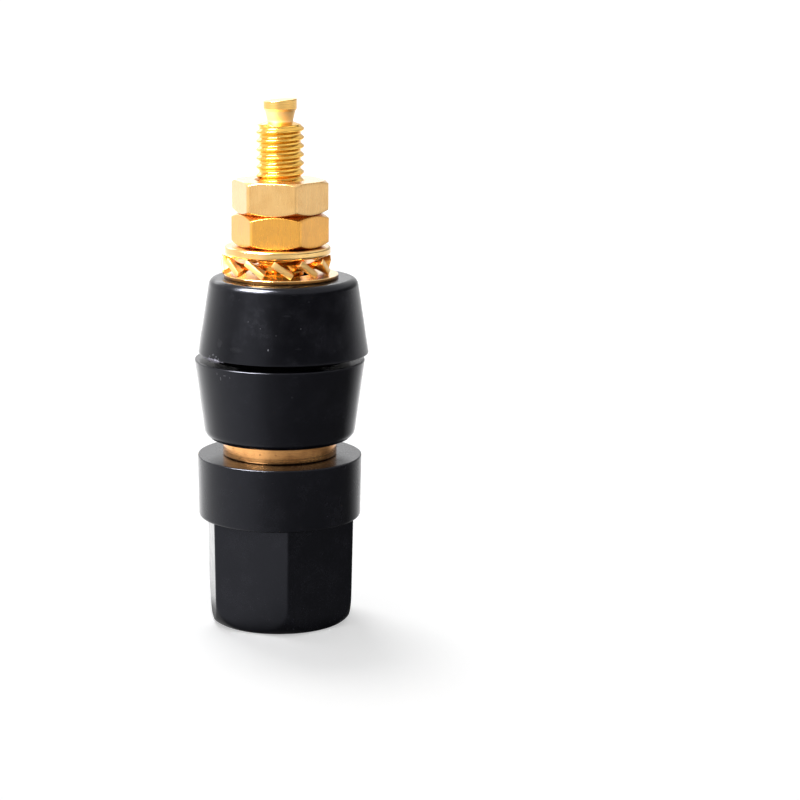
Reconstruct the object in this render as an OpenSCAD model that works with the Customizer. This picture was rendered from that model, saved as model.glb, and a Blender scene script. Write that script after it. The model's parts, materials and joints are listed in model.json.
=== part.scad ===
// Banana socket of the binding-post kind, standing on the end of its knob.
// Z runs up the post's axis, from the knob's end face to the tip of the rear stud.
// The photographed side faces -Y.

/* [Knob] */
// Height of the whole knob
knob_h = 14.1; // [12.5:0.1:18]
// Height of the six-sided grip, from the knob's end to the collar
grip_h = 8.9; // [5:0.1:10]
// Diameter of the round collar at its upper edge
collar_d = 13.6; // [12.5:0.1:16]
// Size of the grip across its corners, where it meets the collar
grip_corners = 13.3; // [12.2:0.1:14]
// Direction of one grip corner round the axis, in degrees
grip_turn = 34; // [0:1:60]
// Draft of the moulded knob, in degrees
knob_draft = 0.9; // [0:0.1:2]
// Radius of the collar's lower outer edge
collar_edge_r = 0.25; // [0.1:0.05:0.8]
// Bevel of the collar's upper outer edge
collar_bevel = 0.15; // [0.05:0.05:0.4]
// Diameter of the flat end face that the knob stands on
end_face_d = 10.5; // [9:0.1:11.6]
// Height over which the end is rounded off towards the grip's corners
end_round_h = 3.5; // [1.5:0.1:4]
// Thickness of the knob's end wall round the plug's way in
end_wall = 2.0; // [1.2:0.1:3]
// Diameter of the plug's way in through the end wall
entry_d = 5.0; // [4.4:0.1:5.6]
// Lead-in bevel at the mouth of the way in
entry_bevel = 0.5; // [0.1:0.1:0.8]

/* [Knob insert] */
// Outside diameter of the threaded metal insert
insert_d = 8.4; // [7.6:0.1:9]
// Length of the insert, down from the knob's upper face
insert_len = 9.0; // [6:0.5:9.5]
// Depth of the ring groove that keys the insert into the moulding
insert_groove = 0.4; // [0.1:0.05:0.5]
// Width of that groove
insert_groove_w = 2.0; // [1:0.1:3]
// Depth of the unthreaded relief at the insert's upper end
insert_relief_h = 3.0; // [1:0.1:4]
// How much wider than the thread the relief is, on the radius
insert_relief = 0.4; // [0.3:0.05:0.5]

/* [Post] */
// Outside diameter of the threaded front section
front_d = 5.9; // [5.6:0.05:6.2]
// Diameter of the plug bore
socket_d = 4.0; // [3.9:0.05:4.2]
// Depth of the plug bore from the post's front end
socket_depth = 10.8; // [7:0.1:11]
// Lead-in bevel at the plug bore's mouth
socket_bevel = 0.3; // [0.1:0.05:0.5]
// Diameter of the cross hole for a bare wire
wire_hole_d = 2.2; // [1.5:0.1:2.6]
// Metal left between the wire hole and the flange
wire_hole_land = 0.3; // [0.1:0.05:0.8]
// Diameter of the flange
flange_d = 9.45; // [8.5:0.1:11]
// Thickness of the flange
flange_h = 1.4; // [1:0.05:2.5]
// Bevel of the flange's edges
flange_bevel = 0.15; // [0.05:0.05:0.4]
// Outside diameter of the threaded rear stud
stud_d = 3.9; // [3.7:0.05:4]
// Length of the threaded rear stud above the flange
stud_len = 25.8; // [24:0.1:32]
// Height of the cone that ends the thread
cone_h = 0.3; // [0.1:0.05:0.6]
// Diameter of the waist below the stud's solder tip
waist_d = 2.25; // [1.5:0.05:2.4]
// Height of the straight waist
waist_h = 0.15; // [0.1:0.05:1]
// Height of the flare from the waist out to the tip
flare_h = 0.9; // [0.3:0.05:1.2]
// Diameter of the solder tip
tip_d = 2.7; // [2.4:0.05:3]
// Height of the solder tip on the axis, up to its slanted cut
tip_h = 0.7; // [0.5:0.05:2]
// Slant of the cut that ends the tip, in degrees
tip_slant = 5; // [0:1:12]

/* [Insulators] */
// Height of the front insulator, without its spigot
front_h = 6.65; // [4:0.1:8]
// Height of the rear insulator
rear_h = 6.25; // [5:0.1:8]
// Diameter of both insulators at the panel
insulator_d = 14.05; // [12.5:0.05:16]
// Diameter of the front insulator at its narrow end, before the edge is rounded
front_end_d = 12.3; // [11:0.05:13]
// Diameter of the rear insulator at its narrow end, before the edge is rounded
rear_end_d = 12.1; // [11:0.05:13]
// Radius of the rim at the panel
rim_r = 0.1; // [0.05:0.05:0.8]
// Radius of the edge at the front insulator's narrow end
front_edge_r = 0.9; // [0.2:0.05:1.5]
// Radius of the edge at the rear insulator's narrow end
rear_edge_r = 0.65; // [0.2:0.05:1.5]
// Diameter of the spigot that passes through the panel
spigot_d = 7.0; // [6.2:0.1:8]
// Length of the spigot
spigot_h = 3.0; // [2.6:0.05:4]
// Depth of the recess that takes the spigot
recess_h = 2.5; // [1.5:0.05:2.6]
// How far the rear insulator sits off the axis, within its play
rear_shift = 0.3; // [-0.35:0.05:0.35]

/* [Washers] */
// Diameter of the contact washer
contact_d = 9.4; // [8.5:0.1:11]
// Thickness of the contact washer
contact_t = 0.3; // [0.2:0.05:0.8]
// How far the contact washer sits off the axis, within its play
contact_shift = 0.1; // [-0.35:0.05:0.35]
// Diameter of the toothed washer over the middles of its tooth tips
star_d = 8.9; // [8.3:0.1:10]
// Diameter of the toothed washer's plain ring
star_ring_d = 6.4; // [6:0.1:6.8]
// Thickness of the toothed washer's sheet
star_t = 0.5; // [0.3:0.05:0.6]
// Number of teeth
star_teeth = 12; // [9:1:12]
// Width of a tooth at its root
tooth_root_w = 1.15; // [0.8:0.05:1.25]
// Width of a tooth at its tip
tooth_tip_w = 1.95; // [1.4:0.05:2]
// Twist of each tooth out of the sheet, in degrees
tooth_twist = 36; // [25:1:45]
// Direction of one tooth round the axis, in degrees
star_turn = 5; // [0:1:30]
// How far the toothed washer sits off the axis, within its play
star_shift = -0.35; // [-0.35:0.05:0.35]
// Diameter of the flat washer
washer_d = 8.7; // [8.2:0.1:10]
// Thickness of the flat washer
washer_t = 0.7; // [0.5:0.05:1.2]
// Radius of the flat washer's edges
washer_edge_r = 0.2; // [0.05:0.05:0.24]
// How far the flat washer sits off the axis, within its play
washer_shift = -0.2; // [-0.35:0.05:0.35]

/* [Nuts] */
// Width of a nut across its flats
nut_af = 7.0; // [6.6:0.1:8]
// Height of a nut
nut_h = 2.7; // [2:0.05:3.2]
// Diameter at which the chamfer of a nut's corners meets its faces
nut_face_d = 7.2; // [7.1:0.05:7.8]
// Angle of the chamfer that rounds a nut's corners, in degrees
nut_chamfer = 30; // [15:1:35]
// Direction of one corner of the lower nut, in degrees
lower_nut_turn = 52; // [0:1:60]
// Direction of one corner of the upper nut, in degrees
upper_nut_turn = 47; // [0:1:60]

/* [Clearances] */
// Radial play of the threads, which are left plain here
thread_play = 0.05; // [0.02:0.01:0.1]
// Radial play of the insert in the knob
insert_play = 0.03; // [0.01:0.01:0.06]
// Radial room between the post's front section and the knob
post_room = 0.35; // [0.25:0.05:0.5]
// Room between the post's front end and the knob's end wall
post_end_room = 0.5; // [0.3:0.1:1]
// Radial play of the insulators round the stud
bush_play = 0.45; // [0.4:0.05:0.6]
// Radial play of the spigot in its recess
spigot_play = 0.45; // [0.4:0.05:0.6]
// Radial play of the washers round the stud
washer_play = 0.4; // [0.38:0.01:0.5]
// Play between the tooth edges and the washers above and below them
tooth_play = 0.02; // [0.01:0.01:0.05]

/* [Hidden] */
$fn = 96;
// Length by which a cut runs past the face that it opens
past = 1;
// Straight steps in a rounded corner
corner_steps = 6;
// Slices along a twisted tooth
tooth_slices = 8;
// Depth to which a tooth's root runs into its ring
tooth_root_in = 0.3;
// Included angle of the drill point that ends the plug bore
drill_angle = 118;

// Heights of the seats up the axis
flange_z = knob_h;
front_z = flange_z + flange_h;
panel_z = front_z + front_h;
rear_z = panel_z + spigot_h - recess_h;
contact_z = rear_z + rear_h;
star_z = contact_z + contact_t + tooth_play;
tooth_rise = tooth_tip_w * sin(tooth_twist) + star_t * cos(tooth_twist);
washer_z = star_z + tooth_rise + tooth_play;
lower_nut_z = washer_z + washer_t;
upper_nut_z = lower_nut_z + nut_h;
thread_end_z = front_z + stud_len;
waist_z = thread_end_z + cone_h;
flare_z = waist_z + waist_h;
tip_z = flare_z + flare_h;
tip_end_z = tip_z + tip_h;

// Places inside the knob
insert_z = knob_h - insert_len;
post_end_z = end_wall + post_end_room;
wire_hole_z = flange_z - wire_hole_land - wire_hole_d / 2;
grip_top_z = grip_h + collar_edge_r;

// Holes that clear the pieces passing through them
insert_bore_d = front_d + 2 * thread_play;
post_way_d = front_d + 2 * post_room;
bush_bore_d = stud_d + 2 * bush_play;
washer_bore_d = stud_d + 2 * washer_play;
nut_bore_d = stud_d + 2 * thread_play;
recess_d = spigot_d + 2 * spigot_play;

function unit(v) = v / norm(v);

// Points of the arc of radius r that rounds the corner p between its neighbours a and b
function corner(a, p, b, r) =
    r <= 0 ? [p] :
    let (u = unit(a - p),
         v = unit(b - p),
         half = acos(u * v) / 2,
         centre = p + unit(u + v) * r / sin(half),
         from = p + u * r / tan(half) - centre,
         to = p + v * r / tan(half) - centre,
         start = atan2(from.y, from.x),
         sweep = (atan2(to.y, to.x) - start + 540) % 360 - 180)
    [for (i = [0 : corner_steps])
        centre + r * [cos(start + sweep * i / corner_steps), sin(start + sweep * i / corner_steps)]];

// A profile whose points are [radius, height] or [radius, height, rounding]
function rounded(points) =
    let (n = len(points), flat = [for (p = points) [p[0], p[1]]])
    [for (i = [0 : n - 1])
        each corner(flat[(i + n - 1) % n], flat[i], flat[(i + 1) % n],
                    len(points[i]) > 2 ? points[i][2] : 0)];

module turned(points) {
    rotate_extrude() polygon(rounded(points));
}

// The round outside of the insert, grown by the play when it cuts the knob
module insert_form(play) {
    r = insert_d / 2 + play;
    waist_r = r - insert_groove;
    groove_low = insert_z + (insert_len - insert_relief_h) / 2 - insert_groove_w / 2 + play;
    groove_high = groove_low + insert_groove_w - 2 * play;
    turned([[0, insert_z], [r, insert_z],
            [r, groove_low], [waist_r, groove_low], [waist_r, groove_high], [r, groove_high],
            [r, knob_h], [0, knob_h]]);
}

// Half the grip's width across its drafted flats, at a height
function grip_half(z) = grip_corners / 2 * cos(30) - (grip_h - z) * tan(knob_draft);

// The slab between two opposite flats of the grip, which runs up into the collar's rounded edge
module grip_slab() {
    rotate([90, 0, 0])
        linear_extrude(height = 2 * grip_corners, center = true)
            polygon([[-grip_half(0), 0], [grip_half(0), 0],
                     [grip_half(grip_top_z), grip_top_z], [-grip_half(grip_top_z), grip_top_z]]);
}

// The six-sided grip: three slabs, and the standing end's rounding
module grip() {
    corner_r = grip_corners / 2;
    end_r = end_face_d / 2;
    intersection() {
        rotate(grip_turn + 30) grip_slab();
        rotate(grip_turn + 90) grip_slab();
        rotate(grip_turn + 150) grip_slab();
        rotate_extrude()
            polygon(concat(
                [[0, 0]],
                [for (i = [0 : corner_steps])
                    [end_r + (corner_r - end_r) * sin(90 * i / corner_steps),
                     end_round_h * (1 - cos(90 * i / corner_steps))]],
                [[corner_r + past, grip_top_z], [0, grip_top_z]]));
    }
}

module knob() {
    collar_h = knob_h - grip_h;
    collar_low_r = collar_d / 2 - collar_h * tan(knob_draft);
    color([0.06, 0.06, 0.07])
    difference() {
        union() {
            grip();
            turned([[0, grip_h], [collar_low_r, grip_h, collar_edge_r],
                    [collar_d / 2, knob_h - collar_bevel],
                    [collar_d / 2 - collar_bevel, knob_h], [0, knob_h]]);
        }
        insert_form(insert_play);
        translate([0, 0, knob_h - past / 2]) cylinder(d = insert_d + 2 * insert_play, h = past);
        translate([0, 0, end_wall]) cylinder(d = post_way_d, h = knob_h - end_wall);
        translate([0, 0, -past]) cylinder(d = entry_d, h = end_wall + 2 * past);
        cylinder(d1 = entry_d + 2 * entry_bevel, d2 = entry_d, h = entry_bevel);
    }
}

module knob_insert() {
    color([0.86, 0.65, 0.28])
    difference() {
        insert_form(0);
        translate([0, 0, insert_z - past]) cylinder(d = insert_bore_d, h = insert_len + 2 * past);
        translate([0, 0, knob_h - insert_relief_h])
            cylinder(d = insert_bore_d + 2 * insert_relief, h = insert_relief_h + past);
    }
}

// One turned piece: plug socket, flange, threaded stud and solder tip
module post() {
    color([0.88, 0.67, 0.3])
    difference() {
        turned([[0, post_end_z],
                [front_d / 2 - socket_bevel, post_end_z],
                [front_d / 2, post_end_z + socket_bevel],
                [front_d / 2, flange_z],
                [flange_d / 2 - flange_bevel, flange_z],
                [flange_d / 2, flange_z + flange_bevel],
                [flange_d / 2, front_z - flange_bevel],
                [flange_d / 2 - flange_bevel, front_z],
                [stud_d / 2, front_z],
                [stud_d / 2, thread_end_z],
                [waist_d / 2, waist_z],
                [waist_d / 2, flare_z],
                [tip_d / 2, tip_z],
                [tip_d / 2, tip_end_z + past],
                [0, tip_end_z + past]]);
        translate([0, 0, tip_end_z]) rotate([0, -tip_slant, 0])
            translate([-tip_d, -tip_d, 0]) cube([2 * tip_d, 2 * tip_d, 2 * past]);
        translate([0, 0, post_end_z - past]) cylinder(d = socket_d, h = socket_depth + past);
        translate([0, 0, post_end_z + socket_depth])
            cylinder(d1 = socket_d, d2 = 0, h = socket_d / 2 / tan(drill_angle / 2));
        translate([0, 0, post_end_z])
            cylinder(d1 = socket_d + 2 * socket_bevel, d2 = socket_d, h = socket_bevel);
        translate([0, 0, wire_hole_z]) rotate([90, 0, 0])
            cylinder(d = wire_hole_d, h = flange_d, center = true);
    }
}

// The tapered body of an insulator, with its panel rim at height 0
module insulator_body(height, end_d, end_edge_r) {
    turned([[0, 0], [insulator_d / 2, 0, rim_r],
            [end_d / 2, height, end_edge_r], [0, height]]);
}

module front_insulator() {
    color([0.06, 0.06, 0.07])
    translate([0, 0, panel_z])
    difference() {
        union() {
            mirror([0, 0, 1]) insulator_body(front_h, front_end_d, front_edge_r);
            cylinder(d = spigot_d, h = spigot_h);
        }
        translate([0, 0, -front_h - past]) cylinder(d = bush_bore_d, h = front_h + spigot_h + 2 * past);
    }
}

module rear_insulator() {
    color([0.07, 0.07, 0.08])
    translate([rear_shift, 0, rear_z])
    difference() {
        insulator_body(rear_h, rear_end_d, rear_edge_r);
        translate([0, 0, -past]) cylinder(d = recess_d, h = recess_h + past);
        translate([0, 0, -past]) cylinder(d = bush_bore_d, h = rear_h + 2 * past);
    }
}

module contact_washer() {
    color([0.9, 0.7, 0.35])
    translate([contact_shift, 0, contact_z])
    difference() {
        cylinder(d = contact_d, h = contact_t);
        translate([0, 0, -past]) cylinder(d = washer_bore_d, h = contact_t + 2 * past);
    }
}

// Corners of a tooth's section at a share t of its length, from flat root to twisted tip
function tooth_section(t) =
    let (root_r = star_ring_d / 2 - tooth_root_in,
         turn = -tooth_twist * sin(90 * t),
         w = tooth_root_w + (tooth_tip_w - tooth_root_w) * t)
    [for (c = [[-1, -1], [1, -1], [1, 1], [-1, 1]])
        let (y = c.x * w / 2, z = c.y * star_t / 2)
        [root_r + (star_d / 2 - root_r) * t, y * cos(turn) - z * sin(turn), y * sin(turn) + z * cos(turn)]];

// One tooth along +X, lofted through its sections
module tooth() {
    last = 4 * tooth_slices;
    polyhedron(
        points = [for (i = [0 : tooth_slices]) each tooth_section(i / tooth_slices)],
        faces = concat(
            [[0, 1, 2, 3]],
            [for (i = [0 : tooth_slices - 1], k = [0 : 3])
                [4 * i + k, 4 * i + 4 + k, 4 * i + 4 + (k + 1) % 4, 4 * i + (k + 1) % 4]],
            [[last + 3, last + 2, last + 1, last]]));
}

module star_washer() {
    color([0.88, 0.66, 0.3])
    translate([star_shift, 0, star_z + tooth_rise / 2]) rotate(star_turn)
    difference() {
        union() {
            cylinder(d = star_ring_d, h = star_t, center = true);
            for (i = [0 : star_teeth - 1]) rotate(360 / star_teeth * i) tooth();
        }
        cylinder(d = washer_bore_d, h = star_t + 2 * past, center = true);
    }
}

module flat_washer() {
    color([0.9, 0.7, 0.35])
    translate([washer_shift, 0, washer_z])
    difference() {
        turned([[0, 0], [washer_d / 2, 0, washer_edge_r],
                [washer_d / 2, washer_t, washer_edge_r], [0, washer_t]]);
        translate([0, 0, -past]) cylinder(d = washer_bore_d, h = washer_t + 2 * past);
    }
}

// A hexagon nut whose corners are chamfered at both faces
module nut(turn) {
    corner_r = nut_af / 2 / cos(30);
    chamfer_h = (corner_r - nut_face_d / 2) * tan(nut_chamfer);
    difference() {
        intersection() {
            rotate(turn) cylinder(r = corner_r, h = nut_h, $fn = 6);
            turned([[0, 0], [nut_face_d / 2, 0], [corner_r, chamfer_h],
                    [corner_r, nut_h - chamfer_h], [nut_face_d / 2, nut_h], [0, nut_h]]);
        }
        translate([0, 0, -past]) cylinder(d = nut_bore_d, h = nut_h + 2 * past);
    }
}

module lower_nut() {
    color([0.87, 0.65, 0.3]) translate([0, 0, lower_nut_z]) nut(lower_nut_turn);
}

module upper_nut() {
    color([0.87, 0.65, 0.3]) translate([0, 0, upper_nut_z]) nut(upper_nut_turn);
}

knob();
knob_insert();
post();
front_insulator();
rear_insulator();
contact_washer();
star_washer();
flat_washer();
lower_nut();
upper_nut();
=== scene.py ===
"""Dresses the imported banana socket: moulded, turned and threaded pieces, their finishes and a studio."""

import json
import logging
import math
from collections.abc import Callable, Iterable, Sequence
from dataclasses import dataclass, field
from enum import Enum
from typing import ClassVar

import bmesh
import bpy
from bmesh.types import BMEdge, BMesh, BMVert
from mathutils import Matrix, Vector


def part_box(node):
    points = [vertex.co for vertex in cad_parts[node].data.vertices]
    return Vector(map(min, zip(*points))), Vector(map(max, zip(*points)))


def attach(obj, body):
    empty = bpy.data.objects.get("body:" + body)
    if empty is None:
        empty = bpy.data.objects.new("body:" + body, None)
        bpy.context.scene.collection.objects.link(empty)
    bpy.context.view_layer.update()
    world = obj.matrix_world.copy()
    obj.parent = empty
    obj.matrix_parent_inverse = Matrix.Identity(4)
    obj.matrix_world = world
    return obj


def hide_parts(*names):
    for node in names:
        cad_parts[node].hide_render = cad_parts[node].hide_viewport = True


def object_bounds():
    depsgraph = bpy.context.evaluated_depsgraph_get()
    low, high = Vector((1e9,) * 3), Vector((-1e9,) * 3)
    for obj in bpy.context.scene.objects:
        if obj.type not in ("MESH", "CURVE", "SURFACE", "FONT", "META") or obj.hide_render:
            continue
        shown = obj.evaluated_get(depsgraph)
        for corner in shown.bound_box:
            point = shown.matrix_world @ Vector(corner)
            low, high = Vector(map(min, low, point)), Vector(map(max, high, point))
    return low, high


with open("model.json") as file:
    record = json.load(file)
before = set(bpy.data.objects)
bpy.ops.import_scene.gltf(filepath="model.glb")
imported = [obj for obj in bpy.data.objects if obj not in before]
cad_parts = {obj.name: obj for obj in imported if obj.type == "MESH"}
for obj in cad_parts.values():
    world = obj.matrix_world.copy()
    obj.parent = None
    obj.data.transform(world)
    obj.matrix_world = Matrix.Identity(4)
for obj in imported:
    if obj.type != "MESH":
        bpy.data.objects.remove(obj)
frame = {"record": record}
CAD_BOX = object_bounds()

LOG = logging.getLogger("banana_socket")
MM = 0.001
FULL_TURN = 2 * math.pi
# Edges bent more than this keep a hard shade
SHARP_BEND = math.radians(35)
# Millimetres within which points are welded, cuts snap and heights count as the same
WELD = 1e-4
SNAP = 1e-5
SAME_HEIGHT = 1e-3
# The moving body that each CAD node belongs to
BODY_OF = {
    node: body
    for body, nodes in frame["record"]["behaviour"]["bodies"].items()
    for node in nodes
}

# A point is a radius and a height, a corner may add its rounding, and a ramp pairs degrees with levels
Point = tuple[float, float]
Span = tuple[float, float]
Triple = tuple[float, float, float]
Colour = Triple
Corner = tuple[float, ...]
Ramp = tuple[Point, ...]
Socket = bpy.types.NodeSocket
Sockets = bpy.types.bpy_prop_collection


class Slot(Enum):
    """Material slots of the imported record."""

    BLACK_MOULDING = "black_moulding"
    GOLD_PLATE = "gold_plate"
    GOLD_NUT = "gold_nut"


class Effect(Enum):
    """Surface effects that several finishes share, each a node group."""

    GRAIN = "moulded_grain"
    HAZE = "handling_film"
    MARKS = "handling_marks"
    SPECKS = "dust_specks"
    SPOT = "single_spot"
    TURNING = "turning_lines"
    DRAWING = "drawn_lines"
    TARNISH = "plating_tone"


# Profiles and lofts


def wrapped(angle: float) -> float:
    """Brings an angle within half a turn either way."""
    return (angle + math.pi) % FULL_TURN - math.pi


def rounded(points: Sequence[Corner], closed: bool = True, steps: int = 6) -> list[Point]:
    """Rounds the corners of a profile.

    Args:
        points: (radius, height) or (radius, height, rounding) of each corner, in millimetres.
        closed: whether the last corner joins the first.
        steps: straight steps in each rounding.

    Returns:
        The points of the rounded profile.
    """
    chain: list[Point] = []
    count = len(points)
    for i, corner in enumerate(points):
        here = Vector(corner[:2])
        is_end = not closed and i in (0, count - 1)
        if is_end or len(corner) < 3:
            chain.append((here.x, here.y))
            continue
        radius = corner[2]
        before = (Vector(points[i - 1][:2]) - here).normalized()
        after = (Vector(points[(i + 1) % count][:2]) - here).normalized()
        half = before.angle(after) / 2
        centre = here + (before + after).normalized() * radius / math.sin(half)
        first = here + before * radius / math.tan(half) - centre
        last = here + after * radius / math.tan(half) - centre
        start = math.atan2(first.y, first.x)
        sweep = wrapped(math.atan2(last.y, last.x) - start)
        for k in range(steps + 1):
            angle = start + sweep * k / steps
            chain.append((centre.x + radius * math.cos(angle), centre.y + radius * math.sin(angle)))
    return chain


def held(chain: Sequence[Point], closed: bool = True, hold: float = 0.05) -> list[Point]:
    """Adds a point near both ends of each long stretch, so that its shading stays flat.

    Args:
        chain: the profile's points.
        closed: whether the last point joins the first.
        hold: distance of the added points from the stretch's ends.

    Returns:
        The profile with the added points.
    """
    out: list[Point] = []
    for i, point in enumerate(chain):
        out.append(point)
        if not closed and i == len(chain) - 1:
            break
        a = Vector(point)
        b = Vector(chain[(i + 1) % len(chain)])
        length = (b - a).length
        if length > 4 * hold:
            out += [tuple(a.lerp(b, hold / length)), tuple(b.lerp(a, hold / length))]
    return out


def open_profile(corners: Sequence[Corner]) -> list[Point]:
    """Rounds the corners of an open profile and holds its long stretches."""
    return held(rounded(corners, closed=False), closed=False)


def hexagon(angle: float, half: float, rounding: float) -> float:
    """Radius of a hexagon with rounded corners.

    Args:
        angle: direction, measured from a corner.
        half: half the width across flats.
        rounding: radius of the corners.

    Returns:
        The distance from the axis to the hexagon in that direction.
    """
    side = math.pi / 3
    off_corner = abs((angle + side / 2) % side - side / 2)
    off_flat = side / 2 - off_corner
    flat_end = math.atan2((half - rounding) * math.tan(side / 2), half)
    if off_flat <= flat_end:
        return half / math.cos(off_flat)
    centre = (half - rounding) / math.cos(side / 2)
    return centre * math.cos(off_corner) + math.sqrt(rounding**2 - (centre * math.sin(off_corner)) ** 2)


def soft_least(a: float, b: float, blend: float) -> float:
    """The lesser of two lengths, with the crease between them rounded over a blend length."""
    share = max(blend - abs(a - b), 0.0) / blend
    return min(a, b) - share * share * blend / 4


def turned(profile: Sequence[Corner], columns: int = 192) -> BMesh:
    """Spins a closed profile through a quarter turn and mirrors it to a full one.

    Args:
        profile: corners of the section, in millimetres.
        columns: steps of the full turn.

    Returns:
        A closed ring.
    """
    bm = bmesh.new()
    verts = [bm.verts.new((r, 0, z)) for r, z in held(rounded(profile))]
    edges = [bm.edges.new(pair) for pair in zip(verts, verts[1:] + verts[:1])]
    bmesh.ops.spin(
        bm, geom=verts + edges, cent=(0, 0, 0), axis=(0, 0, 1), angle=FULL_TURN / 4, steps=columns // 4
    )
    for axis in ("X", "Y"):
        bmesh.ops.mirror(bm, geom=[*bm.verts, *bm.edges, *bm.faces], axis=axis, merge_dist=SNAP)
    return bm


def new_ring(out: dict[str, list]) -> tuple[list[BMVert], list[BMEdge]]:
    """Splits what an edge extrusion made.

    Args:
        out: what the operator returned.

    Returns:
        The new ring's vertices and its edges.
    """
    verts = [g for g in out["geom"] if isinstance(g, BMVert)]
    edges = [g for g in out["geom"] if isinstance(g, BMEdge) and g.is_boundary]
    return verts, edges


def lofted(meridian: Callable[[float], list[Point]], columns: int) -> BMesh:
    """Extrudes a ring through the points of a closed section that changes round the axis.

    Args:
        meridian: gives the section, always with as many points, in a direction.
        columns: vertices in each ring.

    Returns:
        A closed ring.
    """
    bm = bmesh.new()
    column = bm.verts.layers.int.new("column")
    step = FULL_TURN / columns
    sections = [meridian(i * step) for i in range(columns)]

    def place(verts: Iterable[BMVert], station: int) -> None:
        """Moves a ring's vertices to one point of their sections.

        Args:
            verts: the ring's vertices.
            station: number of the point.
        """
        for v in verts:
            r, z = sections[v[column]][station]
            v.co = (r * math.cos(v[column] * step), r * math.sin(v[column] * step), z)

    first = bmesh.ops.create_circle(bm, segments=columns, radius=1.0)["verts"]
    for v in first:
        v[column] = round(math.atan2(v.co.y, v.co.x) / step) % columns
    first_edges = bm.edges[:]
    edges = first_edges
    place(first, 0)
    for station in range(1, len(sections[0])):
        verts, edges = new_ring(bmesh.ops.extrude_edge_only(bm, edges=edges))
        place(verts, station)
    bmesh.ops.bridge_loops(bm, edges=edges + first_edges)
    return bm


def drawn(bm: BMesh, edges: list[BMEdge], stations: Iterable[Point]) -> list[BMEdge]:
    """Extrudes a loop on through rings of the given radii and heights.

    Args:
        bm: the mesh that holds the loop.
        edges: the loop to start from.
        stations: radius and height of each further ring.

    Returns:
        The last ring's edges.
    """
    for r, z in stations:
        verts, edges = new_ring(bmesh.ops.extrude_edge_only(bm, edges=edges))
        for v in verts:
            angle = math.atan2(v.co.y, v.co.x)
            v.co = (r * math.cos(angle), r * math.sin(angle), z)
    return edges


def open_rim(bm: BMesh, height: float) -> list[BMEdge]:
    """Finds the open edges at a height."""
    level = {v for v in bm.verts if abs(v.co.z - height) < SAME_HEIGHT}
    return [e for e in bm.edges if e.is_boundary and level.issuperset(e.verts)]


def continued(source: BMesh, height: float, stations: Iterable[Point]) -> BMesh:
    """Starts a new mesh on another's open rim and extrudes it on.

    Args:
        source: the mesh whose rim is copied.
        height: height of that rim.
        stations: radius and height of each further ring.

    Returns:
        The new mesh, which meets the other along the rim.
    """
    bm = bmesh.new()
    copies: dict[BMVert, BMVert] = {}
    edges = []
    for e in open_rim(source, height):
        for v in e.verts:
            if v not in copies:
                copies[v] = bm.verts.new(v.co)
        edges.append(bm.edges.new([copies[v] for v in e.verts]))
    drawn(bm, edges, stations)
    return bm


def joined(parts: Iterable[BMesh]) -> BMesh:
    """Joins meshes into one, welds them where they meet, and frees them.

    Args:
        parts: the meshes.

    Returns:
        The joined mesh.
    """
    whole = bmesh.new()
    for part in parts:
        mesh = bpy.data.meshes.new("part")
        part.to_mesh(mesh)
        part.free()
        whole.from_mesh(mesh)
        bpy.data.meshes.remove(mesh)
    bmesh.ops.remove_doubles(whole, verts=whole.verts, dist=WELD)
    return whole


# Objects of the scene


def linked(name: str, data: bpy.types.ID) -> bpy.types.Object:
    """Puts a mesh, lamp or camera into the scene.

    Args:
        name: the object's name.
        data: what it holds.

    Returns:
        The object.
    """
    made = bpy.data.objects.new(name, data)
    bpy.context.scene.collection.objects.link(made)
    return made


def meshed(name: str, bm: BMesh) -> bpy.types.Object:
    """Puts a modelled shape into the scene.

    Args:
        name: the object's name.
        bm: its shape, which is freed.

    Returns:
        The object.
    """
    mesh = bpy.data.meshes.new(name)
    bm.to_mesh(mesh)
    bm.free()
    return linked(name, mesh)


def applied(piece: bpy.types.Object) -> None:
    """Gives a piece the mesh that its modifiers make, and takes them off.

    Args:
        piece: the piece.
    """
    depsgraph = bpy.context.evaluated_depsgraph_get()
    mesh = bpy.data.meshes.new_from_object(piece.evaluated_get(depsgraph))
    piece.modifiers.clear()
    mesh.name = piece.name
    piece.data = mesh


# Node trees


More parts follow.
